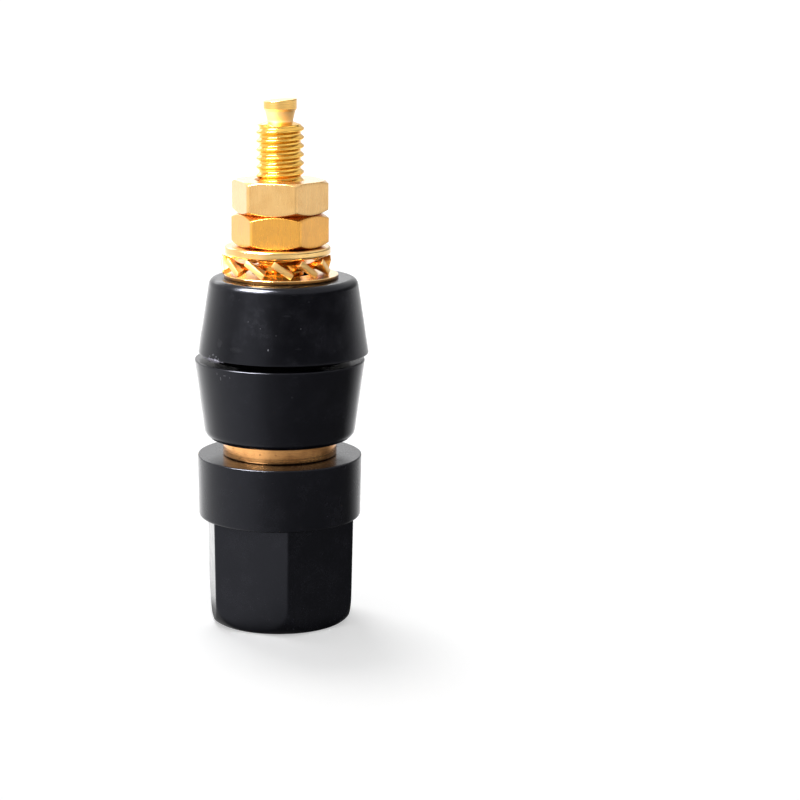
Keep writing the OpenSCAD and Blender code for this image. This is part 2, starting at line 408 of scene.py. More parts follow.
class Graph:
    """A node tree that is being wired."""

    def __init__(self, tree: bpy.types.NodeTree) -> None:
        """Starts on a tree."""
        self.tree = tree

    @classmethod
    def blank(cls, holder: bpy.types.Material | bpy.types.World) -> "Graph":
        """Starts on the emptied tree of a material or a world.

        Args:
            holder: the material or world.

        Returns:
            Its graph.
        """
        holder.use_nodes = True
        holder.node_tree.nodes.clear()
        return cls(holder.node_tree)

    def node(self, kind: str, inputs: dict | None = None, **settings: object) -> bpy.types.Node:
        """Adds a node.

        Args:
            kind: the node's type, without its ShaderNode prefix.
            inputs: a value or an output socket for each input, by name or number.
            settings: the node's own properties.

        Returns:
            The node.
        """
        made = self.tree.nodes.new("ShaderNode" + kind)
        for name, value in settings.items():
            setattr(made, name, value)
        for key, value in (inputs or {}).items():
            if isinstance(value, Socket):
                self.tree.links.new(value, made.inputs[key])
            else:
                made.inputs[key].default_value = value
        return made

    def math(self, operation: str, *values: float | Socket) -> Socket:
        """Adds a Math node and returns its result."""
        return self.node("Math", dict(enumerate(values)), operation=operation).outputs[0]

    def scaled(self, value: Socket, factor: float) -> Socket:
        """Multiplies a value and returns the result."""
        return self.math("MULTIPLY", value, factor)

    def spread(
        self, value: Socket, low: float, high: float, to_low: float = 0.0, to_high: float = 1.0
    ) -> Socket:
        """Maps a value from one range smoothly to another and returns the result."""
        ranges = {"Value": value, "From Min": low, "From Max": high, "To Min": to_low, "To Max": to_high}
        return self.node("MapRange", ranges, interpolation_type="SMOOTHSTEP").outputs[0]

    def mixed(self, share: float | Socket, a: object, b: object) -> Socket:
        """Mixes two colours and returns the result."""
        return self.node("Mix", {0: share, 6: a, 7: b}, data_type="RGBA").outputs[2]

    def noise(self, vector: Socket, scale: float, detail: float = 2.0) -> Socket:
        """Adds a noise texture and returns its value."""
        return self.node("TexNoise", {"Vector": vector, "Scale": scale, "Detail": detail}).outputs[0]

    def stretched(self, vector: Socket, scale: Triple, turn: Triple = (0.0, 0.0, 0.0)) -> Socket:
        """Turns and stretches a vector and returns the result."""
        return self.node("Mapping", {"Vector": vector, "Scale": scale, "Rotation": turn}).outputs[0]


class Effects:
    """The shared surface effects, each built once as a node group that reads millimetres."""

    def __init__(self) -> None:
        """Starts with no group built."""
        self.built: dict[Effect, bpy.types.NodeTree] = {}
        self.builders: dict[Effect, Callable[[Graph, Sockets], Socket]] = {
            Effect.GRAIN: self.grain,
            Effect.HAZE: self.haze,
            Effect.MARKS: self.marks,
            Effect.SPECKS: self.specks,
            Effect.SPOT: self.spot,
            Effect.TURNING: self.turning,
            Effect.DRAWING: self.drawing,
            Effect.TARNISH: self.tarnish,
        }

    def group(self, effect: Effect) -> bpy.types.NodeTree:
        """Gives an effect's node group, which is built on its first use.

        Args:
            effect: which effect.

        Returns:
            The group.
        """
        if effect not in self.built:
            tree = bpy.data.node_groups.new(effect.value, "ShaderNodeTree")
            for name in ("Vector", "Centre", "Reach"):
                tree.interface.new_socket(name, in_out="INPUT", socket_type="NodeSocketVector")
            tree.interface.new_socket("Amount", in_out="INPUT", socket_type="NodeSocketFloat")
            tree.interface.new_socket("Value", in_out="OUTPUT", socket_type="NodeSocketFloat")
            graph = Graph(tree)
            given = tree.nodes.new("NodeGroupInput").outputs
            value = self.builders[effect](graph, given)
            out = tree.nodes.new("NodeGroupOutput")
            tree.links.new(graph.math("MULTIPLY", value, given["Amount"]), out.inputs["Value"])
            self.built[effect] = tree
        return self.built[effect]

    def place(
        self,
        graph: Graph,
        effect: Effect,
        vector: Socket,
        amount: float,
        centre: Triple = (0.0, 0.0, 0.0),
        reach: Triple = (1.0, 1.0, 1.0),
    ) -> Socket:
        """Puts an effect into a material.

        Args:
            graph: the material's tree.
            effect: which effect.
            vector: coordinates in millimetres.
            amount: how strong it is.
            centre: middle of a spot, in millimetres.
            reach: a spot's half sizes, in millimetres.

        Returns:
            The effect's value over the surface.
        """
        made = graph.tree.nodes.new("ShaderNodeGroup")
        made.node_tree = self.group(effect)
        graph.tree.links.new(vector, made.inputs["Vector"])
        for name, value in {"Amount": amount, "Centre": centre, "Reach": reach}.items():
            made.inputs[name].default_value = value
        return made.outputs["Value"]

    def grain(self, g: Graph, given: Sockets) -> Socket:
        """Fine orange-peel of a moulded or plated skin, with a slower swell.

        Args:
            g: the group's tree.
            given: the group's inputs.

        Returns:
            The height of the skin.
        """
        fine = g.noise(given["Vector"], scale=7.0, detail=3.0)
        slow = g.noise(given["Vector"], scale=0.9, detail=1.0)
        return g.math("ADD", g.scaled(fine, 0.35), g.scaled(slow, 0.65))

    def haze(self, g: Graph, given: Sockets) -> Socket:
        """Cloudy film of handling, in soft patches.

        Args:
            g: the group's tree.
            given: the group's inputs.

        Returns:
            The film's strength.
        """
        broad = g.spread(g.noise(given["Vector"], scale=0.45, detail=4.0), low=0.42, high=0.68)
        fine = g.spread(g.noise(given["Vector"], scale=2.6, detail=4.0), low=0.35, high=0.75)
        return g.math("MULTIPLY", broad, g.math("ADD", g.scaled(fine, 0.7), 0.3))

    def marks(self, g: Graph, given: Sockets) -> Socket:
        """Hairline scuffs in two directions, in patches.

        Args:
            g: the group's tree.
            given: the group's inputs.

        Returns:
            The scuffs' strength.
        """
        mm = given["Vector"]
        steep = g.noise(g.stretched(mm, scale=(0.35, 11.0, 5.0), turn=(0.4, 0.2, 0.9)), scale=1.0)
        shallow = g.noise(g.stretched(mm, scale=(9.0, 0.4, 7.0), turn=(0.9, 0.5, -0.3)), scale=1.0)
        steep_lines = g.spread(steep, low=0.66, high=0.74)
        shallow_lines = g.spread(shallow, low=0.68, high=0.76)
        patches = g.spread(g.noise(mm, scale=0.35, detail=1.0), low=0.45, high=0.62)
        return g.math("MULTIPLY", g.math("MAXIMUM", steep_lines, shallow_lines), patches)

    def specks(self, g: Graph, given: Sockets) -> Socket:
        """Small scattered dots, as of dust.

        Args:
            g: the group's tree.
            given: the group's inputs.

        Returns:
            The dots' strength.
        """
        cells = g.node("TexVoronoi", {"Vector": given["Vector"], "Scale": 1.4, "Randomness": 1.0}).outputs
        lot = g.node("SeparateColor", {0: cells["Color"]}).outputs[0]
        chosen = g.spread(lot, low=0.86, high=0.92)
        dot = g.spread(cells["Distance"], low=0.07, high=0.03)
        return g.math("MULTIPLY", chosen, dot)

    def spot(self, g: Graph, given: Sockets) -> Socket:
        """One ragged spot round a centre.

        Args:
            g: the group's tree.
            given: the group's inputs.

        Returns:
            The spot's strength.
        """
        where = given["Vector"]
        off = g.node("VectorMath", {0: where, 1: given["Centre"]}, operation="SUBTRACT").outputs[0]
        near = g.node("VectorMath", {0: off, 1: given["Reach"]}, operation="DIVIDE").outputs[0]
        span = g.node("VectorMath", {0: near}, operation="LENGTH").outputs["Value"]
        ragged = g.math("ADD", span, g.scaled(g.noise(where, scale=9.0), 0.9))
        return g.spread(ragged, low=1.45, high=0.85)

    def turning(self, g: Graph, given: Sockets) -> Socket:
        """Fine rings that a lathe leaves, on walls and on faces.

        Args:
            g: the group's tree.
            given: the group's inputs.

        Returns:
            The rings' height.
        """
        axes = g.node("SeparateXYZ", {0: given["Vector"]}).outputs
        radius = g.math("SQRT", g.math("ADD", g.math("POWER", axes[0], 2.0), g.math("POWER", axes[1], 2.0)))
        along = g.math("ADD", axes[2], radius)
        rings = g.node("TexNoise", {"W": along, "Scale": 14.0, "Detail": 2.0}, noise_dimensions="1D")
        return rings.outputs[0]

    def drawing(self, g: Graph, given: Sockets) -> Socket:
        """Fine upright lines that drawing leaves along a bar.

        Args:
            g: the group's tree.
            given: the group's inputs.

        Returns:
            The lines' height.
        """
        fine = g.noise(g.stretched(given["Vector"], scale=(16.0, 16.0, 0.9)), scale=1.0)
        coarse = g.noise(g.stretched(given["Vector"], scale=(4.5, 4.5, 0.7)), scale=1.0, detail=3.0)
        return g.math("ADD", g.scaled(fine, 0.5), g.scaled(coarse, 0.5))

    def tarnish(self, g: Graph, given: Sockets) -> Socket:
        """Slow change of tone in the plating, with a few pits.

        Args:
            g: the group's tree.
            given: the group's inputs.

        Returns:
            The share of the deeper tone.
        """
        tone = g.spread(g.noise(given["Vector"], scale=0.7, detail=4.0), low=0.35, high=0.7)
        pits = g.spread(g.noise(given["Vector"], scale=4.2, detail=1.0), low=0.70, high=0.76)
        return g.math("MINIMUM", g.math("ADD", g.scaled(tone, 0.6), pits), 1.0)


EFFECTS = Effects()


# Finishes


@dataclass(frozen=True)
class Spot:
    """A mark at one place of a finish, in millimetres."""

    centre: Triple
    reach: Triple
    amount: float


@dataclass(frozen=True)
class Finish:
    """A surface finish, with the record's slot that it shows."""

    slot: ClassVar[Slot]
    name: str
    colour: Colour
    roughness: float

    def material(self) -> bpy.types.Material:
        """Gives the finish's material, which is made on its first use.

        Returns:
            The material.
        """
        found = bpy.data.materials.get(self.name)
        if found is None:
            found = bpy.data.materials.new(self.name)
            graph = Graph.blank(found)
            where = graph.node("TexCoord").outputs["Object"]
            shader = graph.node("BsdfPrincipled", {"Roughness": self.roughness})
            self.wire(graph, shader, graph.stretched(where, (1 / MM, 1 / MM, 1 / MM)))
            graph.node("OutputMaterial", {"Surface": shader.outputs[0]})
        return found

    def wire(self, g: Graph, shader: bpy.types.Node, mm: Socket) -> None:
        """Joins the finish's own nodes to its shader.

        Args:
            g: the material's tree.
            shader: its Principled shader.
            mm: coordinates in millimetres.
        """
        raise NotImplementedError

    def uneven(self, g: Graph, pattern: Socket, share: float) -> Socket:
        """Varies the roughness by a share of a pattern, half of it either way, and returns the result."""
        return g.math("ADD", g.scaled(pattern, share), self.roughness - share / 2)

    def bump(self, g: Graph, shader: bpy.types.Node, height: Socket, depth: float) -> None:
        """Raises the surface by a height map of a depth in millimetres."""
        bump = g.node("Bump", {"Height": height, "Distance": depth * MM, "Strength": 1.0})
        g.tree.links.new(bump.outputs[0], shader.inputs["Normal"])


@dataclass(frozen=True)
class BlackMoulding(Finish):
    """Semi-gloss black plastic, with a film of handling, faint scuffs, dust and single marks."""

    slot: ClassVar[Slot] = Slot.BLACK_MOULDING
    spots: tuple[Spot, ...] = ()
    refraction: float = 1.38
    gloss: float = 0.5
    gloss_tint: Colour = (0.84, 0.86, 1.0)
    grain_depth: float = 0.003
    grain_roughness: float = 0.10
    dust: Colour = (0.30, 0.30, 0.32)
    dust_amount: float = 0.5
    dust_roughness: float = 0.5
    dust_height: float = 2.0
    film: Colour = (0.013, 0.013, 0.018)
    film_amount: float = 0.5
    film_roughness: float = 0.12
    scuff: Colour = (0.03, 0.03, 0.034)
    scuff_amount: float = 0.22
    scuff_roughness: float = 0.35

    def wire(self, g: Graph, shader: bpy.types.Node, mm: Socket) -> None:
        """Joins grain, film, scuffs, dust and marks to the shader.

        Args:
            g: the material's tree.
            shader: its Principled shader.
            mm: coordinates in millimetres.
        """
        film = EFFECTS.place(g, Effect.HAZE, mm, self.film_amount)
        scuffs = EFFECTS.place(g, Effect.MARKS, mm, self.scuff_amount)
        dust = EFFECTS.place(g, Effect.SPECKS, mm, self.dust_amount)
        for spot in self.spots:
            marked = EFFECTS.place(g, Effect.SPOT, mm, spot.amount, spot.centre, spot.reach)
            dust = g.math("MAXIMUM", dust, marked)
        grain = EFFECTS.place(g, Effect.GRAIN, mm, 1.0)
        shade = (*self.colour, 1)
        rough = self.uneven(g, grain, self.grain_roughness)
        for layer, colour, added in (
            (film, self.film, self.film_roughness),
            (scuffs, self.scuff, self.scuff_roughness),
            (dust, self.dust, self.dust_roughness),
        ):
            shade = g.mixed(layer, shade, (*colour, 1))
            rough = g.math("ADD", rough, g.scaled(layer, added))
        g.tree.links.new(shade, shader.inputs["Base Color"])
        g.tree.links.new(rough, shader.inputs["Roughness"])
        shader.inputs["IOR"].default_value = self.refraction
        shader.inputs["Specular IOR Level"].default_value = self.gloss
        shader.inputs["Specular Tint"].default_value = (*self.gloss_tint, 1)
        self.bump(g, shader, g.math("ADD", grain, g.scaled(dust, self.dust_height)), self.grain_depth)


@dataclass(frozen=True)
class Gold(Finish):
    """Gold plate under a thin clear lacquer, deeper in tone in places."""

    slot: ClassVar[Slot] = Slot.GOLD_PLATE
    deep: Colour = (0.85, 0.42, 0.07)
    tone_amount: float = 0.5
    lacquer: float = 0.35
    lacquer_roughness: float = 0.2

    def plate(self, g: Graph, shader: bpy.types.Node, mm: Socket) -> Socket:
        """Joins the plate's tones to the shader and lays the lacquer over them.

        Args:
            g: the material's tree.
            shader: its Principled shader.
            mm: coordinates in millimetres.

        Returns:
            The share of the deeper tone.
        """
        tone = EFFECTS.place(g, Effect.TARNISH, mm, self.tone_amount)
        g.tree.links.new(g.mixed(tone, (*self.colour, 1), (*self.deep, 1)), shader.inputs["Base Color"])
        shader.inputs["Metallic"].default_value = 1.0
        shader.inputs["Coat Weight"].default_value = self.lacquer
        shader.inputs["Coat Roughness"].default_value = self.lacquer_roughness
        return tone


@dataclass(frozen=True)
class TurnedGold(Gold):
    """Gold plate over turned brass, with lathe rings under it."""

    ring_depth: float = 0.004
    ring_roughness: float = 0.12
    grain_amount: float = 0.6

    def wire(self, g: Graph, shader: bpy.types.Node, mm: Socket) -> None:
        """Joins tone, lathe rings and grain to the shader.

        Args:
            g: the material's tree.
            shader: its Principled shader.
            mm: coordinates in millimetres.
        """
        self.plate(g, shader, mm)
        rings = EFFECTS.place(g, Effect.TURNING, mm, 1.0)
        grain = EFFECTS.place(g, Effect.GRAIN, mm, self.grain_amount)
        g.tree.links.new(self.uneven(g, rings, self.ring_roughness), shader.inputs["Roughness"])
        self.bump(g, shader, g.math("ADD", rings, grain), self.ring_depth)


@dataclass(frozen=True)
class NutGold(Gold):
    """Satin gold plate over drawn brass, with lines along the bar and pits."""

    slot: ClassVar[Slot] = Slot.GOLD_NUT
    deep: Colour = (0.66, 0.32, 0.07)
    tone_amount: float = 0.45
    lacquer: float = 0.8
    line_depth: float = 0.0012
    line_roughness: float = 0.16

    def wire(self, g: Graph, shader: bpy.types.Node, mm: Socket) -> None:
        """Joins tone, drawing lines and pits to the shader.

        Args:
            g: the material's tree.
            shader: its Principled shader.
            mm: coordinates in millimetres.
        """
        tone = self.plate(g, shader, mm)
        lines = EFFECTS.place(g, Effect.DRAWING, mm, 1.0)
        g.tree.links.new(self.uneven(g, lines, self.line_roughness), shader.inputs["Roughness"])
        self.bump(g, shader, g.math("SUBTRACT", lines, tone), self.line_depth)


BLACK = (0.0030, 0.0031, 0.0052)
MATT_BLACK = (0.050, 0.050, 0.054)
KNOB_BLACK = BlackMoulding("knob_black", BLACK, 0.24)
PANEL_BLACK = BlackMoulding("panel_face_black", MATT_BLACK, 0.6, gloss=0.0)
POST_GOLD = TurnedGold("post_gold", (0.98, 0.57, 0.11), 0.20, lacquer=0.12)
TIP_GOLD = TurnedGold("tip_gold", (0.93, 0.57, 0.17), 0.28, lacquer=0.15)
FLARE_GOLD = TurnedGold("flare_gold", (1.0, 0.68, 0.30), 0.52, lacquer=0.15)
FLANGE_GOLD = TurnedGold("flange_gold", (0.95, 0.47, 0.16), 0.19, (0.44, 0.15, 0.03), tone_amount=0.85)
WASHER_GOLD = TurnedGold("washer_gold", (0.94, 0.62, 0.24), 0.20)
CONTACT_GOLD = TurnedGold("contact_gold", (0.98, 0.72, 0.34), 0.20, (0.90, 0.52, 0.17))
# Painted reflection and shade: a dark brown gold for the contact ring's wall and underside, standing for
# the black plastic mirrored there
RING_WALL_PAINTED_REFLECTION_GOLD = TurnedGold("ring_wall_painted_reflection_gold", (0.34, 0.15, 0.035), 0.22, (0.26, 0.11, 0.02), lacquer=0.1)
TOOTH_GOLD = TurnedGold("tooth_gold", (0.98, 0.62, 0.23), 0.38, lacquer=0.2)
# Painted shade and inter-reflection: a deeper, redder gold inside the toothed washer's ring of teeth
RECESS_PAINTED_SHADE_GOLD = TurnedGold("recess_painted_shade_gold", (1.0, 0.50, 0.08), 0.20, (0.95, 0.32, 0.03))
LOCK_GOLD = NutGold("lock_nut_gold", (0.90, 0.55, 0.20), 0.28)
# Partly painted reflection: the lower nut is plated like the upper one, and its gold is deepened to orange
# to stand for red surroundings mirrored in it
CLAMP_NUT_PAINTED_REFLECTION_GOLD = NutGold("clamp_nut_painted_reflection_gold", (0.96, 0.46, 0.065), 0.28)
# Painted shade: a darker gold for the nuts' faces that look down into the gaps, where shade falls
NUT_PAINTED_SHADE_GOLD = NutGold("nut_painted_shade_gold", (0.42, 0.12, 0.015), 0.28, (0.30, 0.08, 0.01))


# Sub-assemblies


@dataclass(frozen=True)
class Seat:
    """Where a CAD node stands, in millimetres."""

    x: float
    low: float
    high: float
    radius: float

    @classmethod
    def of(cls, node: str) -> "Seat":
        """Reads a node's place from the frame."""
        low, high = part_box(node)
        return cls((low.x + high.x) / 2 / MM, low.z / MM, high.z / MM, (high.x - low.x) / 2 / MM)


@dataclass
class SubAssembly:
    """A sub-assembly of the socket, which makes its pieces and puts them on their bodies.

    Its lengths are in millimetres and its angles in radians.
    """

    def build(self) -> list[bpy.types.Object]:
        """Makes the pieces and returns them."""
        raise NotImplementedError

    def addition(self, bm: BMesh, name: str, node: str, finish: Finish) -> bpy.types.Object:
        """Makes a piece that rides along with a CAD node.

        Args:
            bm: its mesh in millimetres, which is freed.
            name: the piece's name.
            node: the CAD node whose body it rides on.
            finish: its surface.

        Returns:
            The piece.
        """
        bmesh.ops.remove_doubles(bm, verts=bm.verts, dist=WELD)
        bmesh.ops.recalc_face_normals(bm, faces=bm.faces)
        bmesh.ops.scale(bm, vec=(MM, MM, MM), verts=bm.verts)
        made = meshed(name, bm)
        self.dress(made, finish)
        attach(made, BODY_OF[node])
        return made

    def piece(self, bm: BMesh, name: str, node: str, finish: Finish) -> bpy.types.Object:
        """Makes the piece that stands for a CAD node.

        Args:
            bm: its mesh in millimetres, which is freed.
            name: the piece's name.
            node: the CAD node that it stands for.
            finish: its surface.

        Returns:
            The piece.
        """
        made = self.addition(bm, name, node, finish)
        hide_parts(node)
        return made

    def dress(self, made: bpy.types.Object, finish: Finish) -> None:
        """Gives a whole piece one finish, and its shading.

        Args:
            made: the piece.
            finish: its surface.
        """
        made.data.materials.clear()
        made.data.materials.append(finish.material())
        made.data.shade_smooth()
        made.data.set_sharp_from_angle(angle=SHARP_BEND)

    def refinish(
        self, made: bpy.types.Object, finish: Finish, chosen: Callable[[bpy.types.MeshPolygon], bool]
    ) -> None:
        """Gives some faces of a dressed piece a finish of their own.

        Args:
            made: the piece.
            finish: the surface of those faces.
            chosen: tells whether a face is one of them.
        """
        made.data.materials.append(finish.material())
        for face in made.data.polygons:
            if chosen(face):
                face.material_index = len(made.data.materials) - 1


@dataclass
class Knob(SubAssembly):
    """The moulded knob, a six-sided grip under a round collar, and the threaded insert in it."""

    columns: int = 480
    grip_height: float = 8.9
    grip_corners: float = 13.3
    grip_turn: float = math.radians(34)
    draft: float = math.tan(math.radians(0.9))
    corner_round: float = 0.2
    crease: float = 0.12
    wall_shares: tuple[float, ...] = (0.01, 0.03, 0.06, 0.1, 0.16, 0.25, 0.4, 0.6, 0.8, 0.95, 1.0)
    end_radius: float = 5.25
    end_round: float = 3.5
    end_steps: int = 10
    end_land: float = 0.3
    end_wall: float = 2.0
    entry_radius: float = 2.5
    entry_bevel: float = 0.5
    foot_steps: int = 3
    edge_round: float = 0.25
    edge_steps: int = 6
    top_round: float = 0.1
    way_radius: float = 3.3
    insert_play: float = 0.03
    insert_edge: float = 0.08
    groove_depth: float = 0.4
    groove_width: float = 2.0
    relief_height: float = 3.0
    relief_radius: float = 3.4
    thread_radius: float = 3.0
    halvings: int = 24
    seat: Seat = field(default_factory=lambda: Seat.of("knob"))
    insert: Seat = field(default_factory=lambda: Seat.of("knob_insert"))

    @property
    def collar_foot_radius(self) -> float:
        """Radius of the drafted collar at its lower end."""
        return self.seat.radius - (self.seat.high - self.grip_height) * self.draft

    @property
    def groove(self) -> Span:
        """Heights of the groove round the insert, which the moulding fills."""
        room = self.insert.high - self.insert.low - self.relief_height - self.groove_width
        return self.insert.low + room / 2, self.insert.low + room / 2 + self.groove_width

    def wall(self, theta: float, z: float) -> float:
        """Radius of the drafted six-sided wall in a direction and at a height."""
        half = self.grip_corners / 2 * math.cos(math.pi / 6) - (self.grip_height - z) * self.draft
        return hexagon(theta - self.grip_turn, half, self.corner_round)

    def end_curve(self, share: float) -> Point:
        """Finds a point of the standing end's rounding.

        Args:
            share: how far round its quarter turn.

        Returns:
            The point's radius and height.
        """
        flare = self.grip_corners / 2 - self.end_radius
        angle = share * math.pi / 2
        return self.end_radius + flare * math.sin(angle), self.end_round * (1 - math.cos(angle))

    def end_reach(self, z: float) -> float:
        """Finds how far out the end's rounding reaches, which runs on outwards above it.

        Args:
            z: the height.

        Returns:
            The radius there.
        """
        flare = self.grip_corners / 2 - self.end_radius
        rise = min(z / self.end_round, 1.0)
        return self.end_radius + flare * math.sin(math.acos(1 - rise)) + max(z - self.end_round, 0.0)

    def crossing(self, theta: float) -> float:
        """Finds where the end's rounding meets the wall, by halving.

        Args:
            theta: the direction.

        Returns:
            The share of the rounding.
        """
        low, high = 0.0, 1.0
        for _ in range(self.halvings):
            middle = (low + high) / 2
            r, z = self.end_curve(middle)
            low, high = (middle, high) if r < self.wall(theta, z) else (low, middle)
        return low

    def grip(self, theta: float) -> list[Point]:
        """Draws the grip's outside, from the end face up to the collar.

        Args:
            theta: the direction.

        Returns:
            Its section there.
        """
        meet = self.crossing(theta)
        meet_z = self.end_curve(meet)[1]
        chain: list[Point] = []
        for i in range(self.end_steps + 1):
            share = 1 - (1 - i / self.end_steps) ** 2
            r, z = self.end_curve(share * meet)
            chain.append((soft_least(r, self.wall(theta, z), self.crease), z))
        for share in self.wall_shares:
            z = meet_z + (self.grip_height - meet_z) * share
            chain.append((soft_least(self.end_reach(z), self.wall(theta, z), self.crease), z))
        return chain

    def collar_foot(self, theta: float) -> list[Point]:
        """Draws the collar's underside and its rounded lower edge.

        Args:
            theta: the direction.

        Returns:
            Their section there.
        """
        edge = self.edge_round
        middle = self.collar_foot_radius - edge
        inner = self.wall(theta, self.grip_height)
        outer = max(middle, inner)
        start = math.asin(min(max((inner - middle) / edge, 0.0), 1.0))
        chain: list[Point] = []
        for i in range(1, self.foot_steps):
            chain.append((inner + (outer - inner) * i / self.foot_steps, self.grip_height))
        for i in range(self.edge_steps + 1):
            angle = start + (math.pi / 2 - start) * i / self.edge_steps
            z = self.grip_height + edge - edge * math.cos(angle)
            chain.append((middle + edge * math.sin(angle), z))
        return chain

    def inside(self) -> list[Point]:
        """Draws the collar's wall and top, and the stepped bore down to the entry.

        Returns:
            Their section, the same all round.
        """
        top = self.seat.high
        hole = self.insert.radius + self.insert_play
        rib = hole - self.groove_depth
        rib_low = self.groove[0] + self.insert_play
        rib_high = self.groove[1] - self.insert_play
        corners: list[Corner] = [
            (self.collar_foot_radius, self.grip_height + self.edge_round),
            (self.seat.radius, top, self.top_round),
            (hole, top, self.insert_edge),
            (hole, rib_high),
            (rib, rib_high),
            (rib, rib_low),
            (hole, rib_low),
            (hole, self.insert.low),
            (self.way_radius, self.insert.low),
            (self.way_radius, self.end_wall),
            (self.entry_radius, self.end_wall, self.insert_edge),
            (self.entry_radius, self.entry_bevel, self.insert_edge),
            (self.entry_radius + self.entry_bevel, 0.0, self.insert_edge),
            (self.end_radius - self.end_land, 0.0),
        ]
        return open_profile(corners)[1:]

    def sleeve(self) -> BMesh:
        """Turns the threaded insert, a grooved sleeve with a wider mouth at its top.

        Returns:
            The insert.
        """
        low, top, radius = self.insert.low, self.insert.high, self.insert.radius
        groove_low, groove_high = self.groove
        waist = radius - self.groove_depth
        edge = self.insert_edge
        return turned([
            (self.thread_radius, low, edge),
            (radius, low, edge),
            (radius, groove_low),
            (waist, groove_low),
            (waist, groove_high),
            (radius, groove_high),
            (radius, top, edge),
            (self.relief_radius, top, 2 * edge),
            (self.relief_radius, top - self.relief_height),
            (self.thread_radius, top - self.relief_height, edge),
        ])

    def build(self) -> list[bpy.types.Object]:
        """Makes the knob and its insert.

        Returns:
            Both pieces.
        """
        inside = self.inside()
        moulding = lofted(lambda theta: self.grip(theta) + self.collar_foot(theta) + inside, self.columns)
        return [
            self.piece(moulding, "knob_moulding", "knob", KNOB_BLACK),
            self.piece(self.sleeve(), "insert_sleeve", "knob_insert", POST_GOLD),
        ]


@dataclass
class Post(SubAssembly):
    """The turned post: plug socket, cross hole, flange, threaded stud and solder tip.

    The thread's depth, flats and roundings are shares of its pitch.
    """

    steps: int = 80
    thread_depth: float = 0.36
    root_flat: float = 0.24
    root_round: float = 0.07
    crest_flat: float = 0.16
    crest_round: float = 0.05
    tooth_round_steps: int = 3
    spare_turns: int = 2
    front_radius: float = 2.95
    front_pitch: float = 1.0
    front_thread_top: float = 10.9
    front_runout: float = 0.5
    neck_play: float = 0.05
    neck_taper: float = 0.3
    neck_round: float = 0.1
    socket_radius: float = 2.0
    socket_depth: float = 10.8
    drill_angle: float = math.radians(118)
    mouth_bevel: float = 0.3
    mouth_round: float = 0.05
    wire_hole_radius: float = 1.1
    wire_hole_land: float = 0.3
    wire_hole_steps: int = 64
    flange_height: float = 1.4
    flange_edge: float = 0.15
    stud_radius: float = 1.95
    stud_pitch: float = 0.7
    stud_length: float = 25.8
    cone_height: float = 0.3
    waist_radius: float = 1.06
    waist_height: float = 0.15
    waist_round: float = 0.3
    flare_height: float = 0.9
    shoulder_radius: float = 1.22
    shoulder_drop: float = 0.2
    shoulder_round: float = 0.1
    tip_radius: float = 1.35
    tip_height: float = 0.7
    tip_slant: float = math.tan(math.radians(5))
    tip_edge: float = 0.06
    seat: Seat = field(default_factory=lambda: Seat.of("post"))
    flange_low: float = field(default_factory=lambda: Seat.of("knob").high)

    @property
    def flange_top(self) -> float:
        """Height at which the stud leaves the flange."""
        return self.flange_low + self.flange_height

    @property
    def cone_low(self) -> float:
        """Height at which the stud's cone starts."""
        return self.flange_top + self.stud_length

    @property
    def waist_low(self) -> float:
        """Height at which the cone ends on the waist."""
        return self.cone_low + self.cone_height

    @property
    def flare_low(self) -> float:
        """Height at which the waist starts to flare."""
        return self.waist_low + self.waist_height

    @property
    def tip_low(self) -> float:
        """Height at which the flare ends on the tip."""
        return self.flare_low + self.flare_height

    @property
    def mouth(self) -> float:
        """Height of the bevels round the plug bore's mouth."""
        return self.seat.low + self.mouth_bevel

    @property
    def neck_low(self) -> float:
        """Height at which the plain neck ends in the thread's runout."""
        return self.front_thread_top - self.front_runout / 2

    def thread(self, crest: float, pitch: float, low: float, high: float) -> BMesh:
        """Cuts a length of metric thread: one turn is spun, then doubled until it is long enough.

        Args:
            crest: its outer radius.
            pitch: its pitch.
            low: height of its lower end.
            high: height of its upper end.

        Returns:
            The thread, open at both ends.
        """
        bm = bmesh.new()
        root = crest - self.thread_depth * pitch
        root_end = self.root_flat / 2 * pitch
        crest_start = (1 - self.crest_flat) / 2 * pitch
        tooth: list[Corner] = [
            (root, 0.0),
            (root, root_end, self.root_round * pitch),
            (crest, crest_start, self.crest_round * pitch),
            (crest, pitch - crest_start, self.crest_round * pitch),
            (root, pitch - root_end, self.root_round * pitch),
            (root, pitch),
        ]
        start = low - self.spare_turns * pitch
        outline = rounded(tooth, closed=False, steps=self.tooth_round_steps)
        verts = [bm.verts.new((r, 0, z + start)) for r, z in outline]
        edges = [bm.edges.new(pair) for pair in zip(verts, verts[1:])]
        bmesh.ops.spin(
            bm, geom=verts + edges, cent=(0, 0, 0), axis=(0, 0, 1), dvec=(0, 0, pitch / self.steps),
            angle=FULL_TURN, steps=self.steps,
        )
        turns = 1
        while start + turns * pitch < high + pitch:
            copied = bmesh.ops.duplicate(bm, geom=[*bm.verts, *bm.edges, *bm.faces])["geom"]
            lifted = [g for g in copied if isinstance(g, BMVert)]
            bmesh.ops.translate(bm, vec=(0, 0, turns * pitch), verts=lifted)
            turns *= 2
        bmesh.ops.remove_doubles(bm, verts=bm.verts, dist=WELD)
        for height, outward in ((low, -1), (high, 1)):
            bmesh.ops.bisect_plane(
                bm, geom=[*bm.verts, *bm.edges, *bm.faces], dist=SNAP, plane_co=(0, 0, height),
                plane_no=(0, 0, outward), clear_outer=True,
            )
        return bm

    def stud(self) -> BMesh:
        """Cuts the rear stud's thread, whose end is turned down to a cone.

        Returns:
            The stud, open at both ends.
        """
        bm = self.thread(self.stud_radius, self.stud_pitch, self.flange_top, self.waist_low)
        slope = (self.stud_radius - self.waist_radius) / self.cone_height
        for v in bm.verts:
            limit = self.stud_radius - max(v.co.z - self.cone_low, 0.0) * slope
            radius = math.hypot(v.co.x, v.co.y)
            if radius > limit:
                v.co.xy *= limit / radius
        return bm

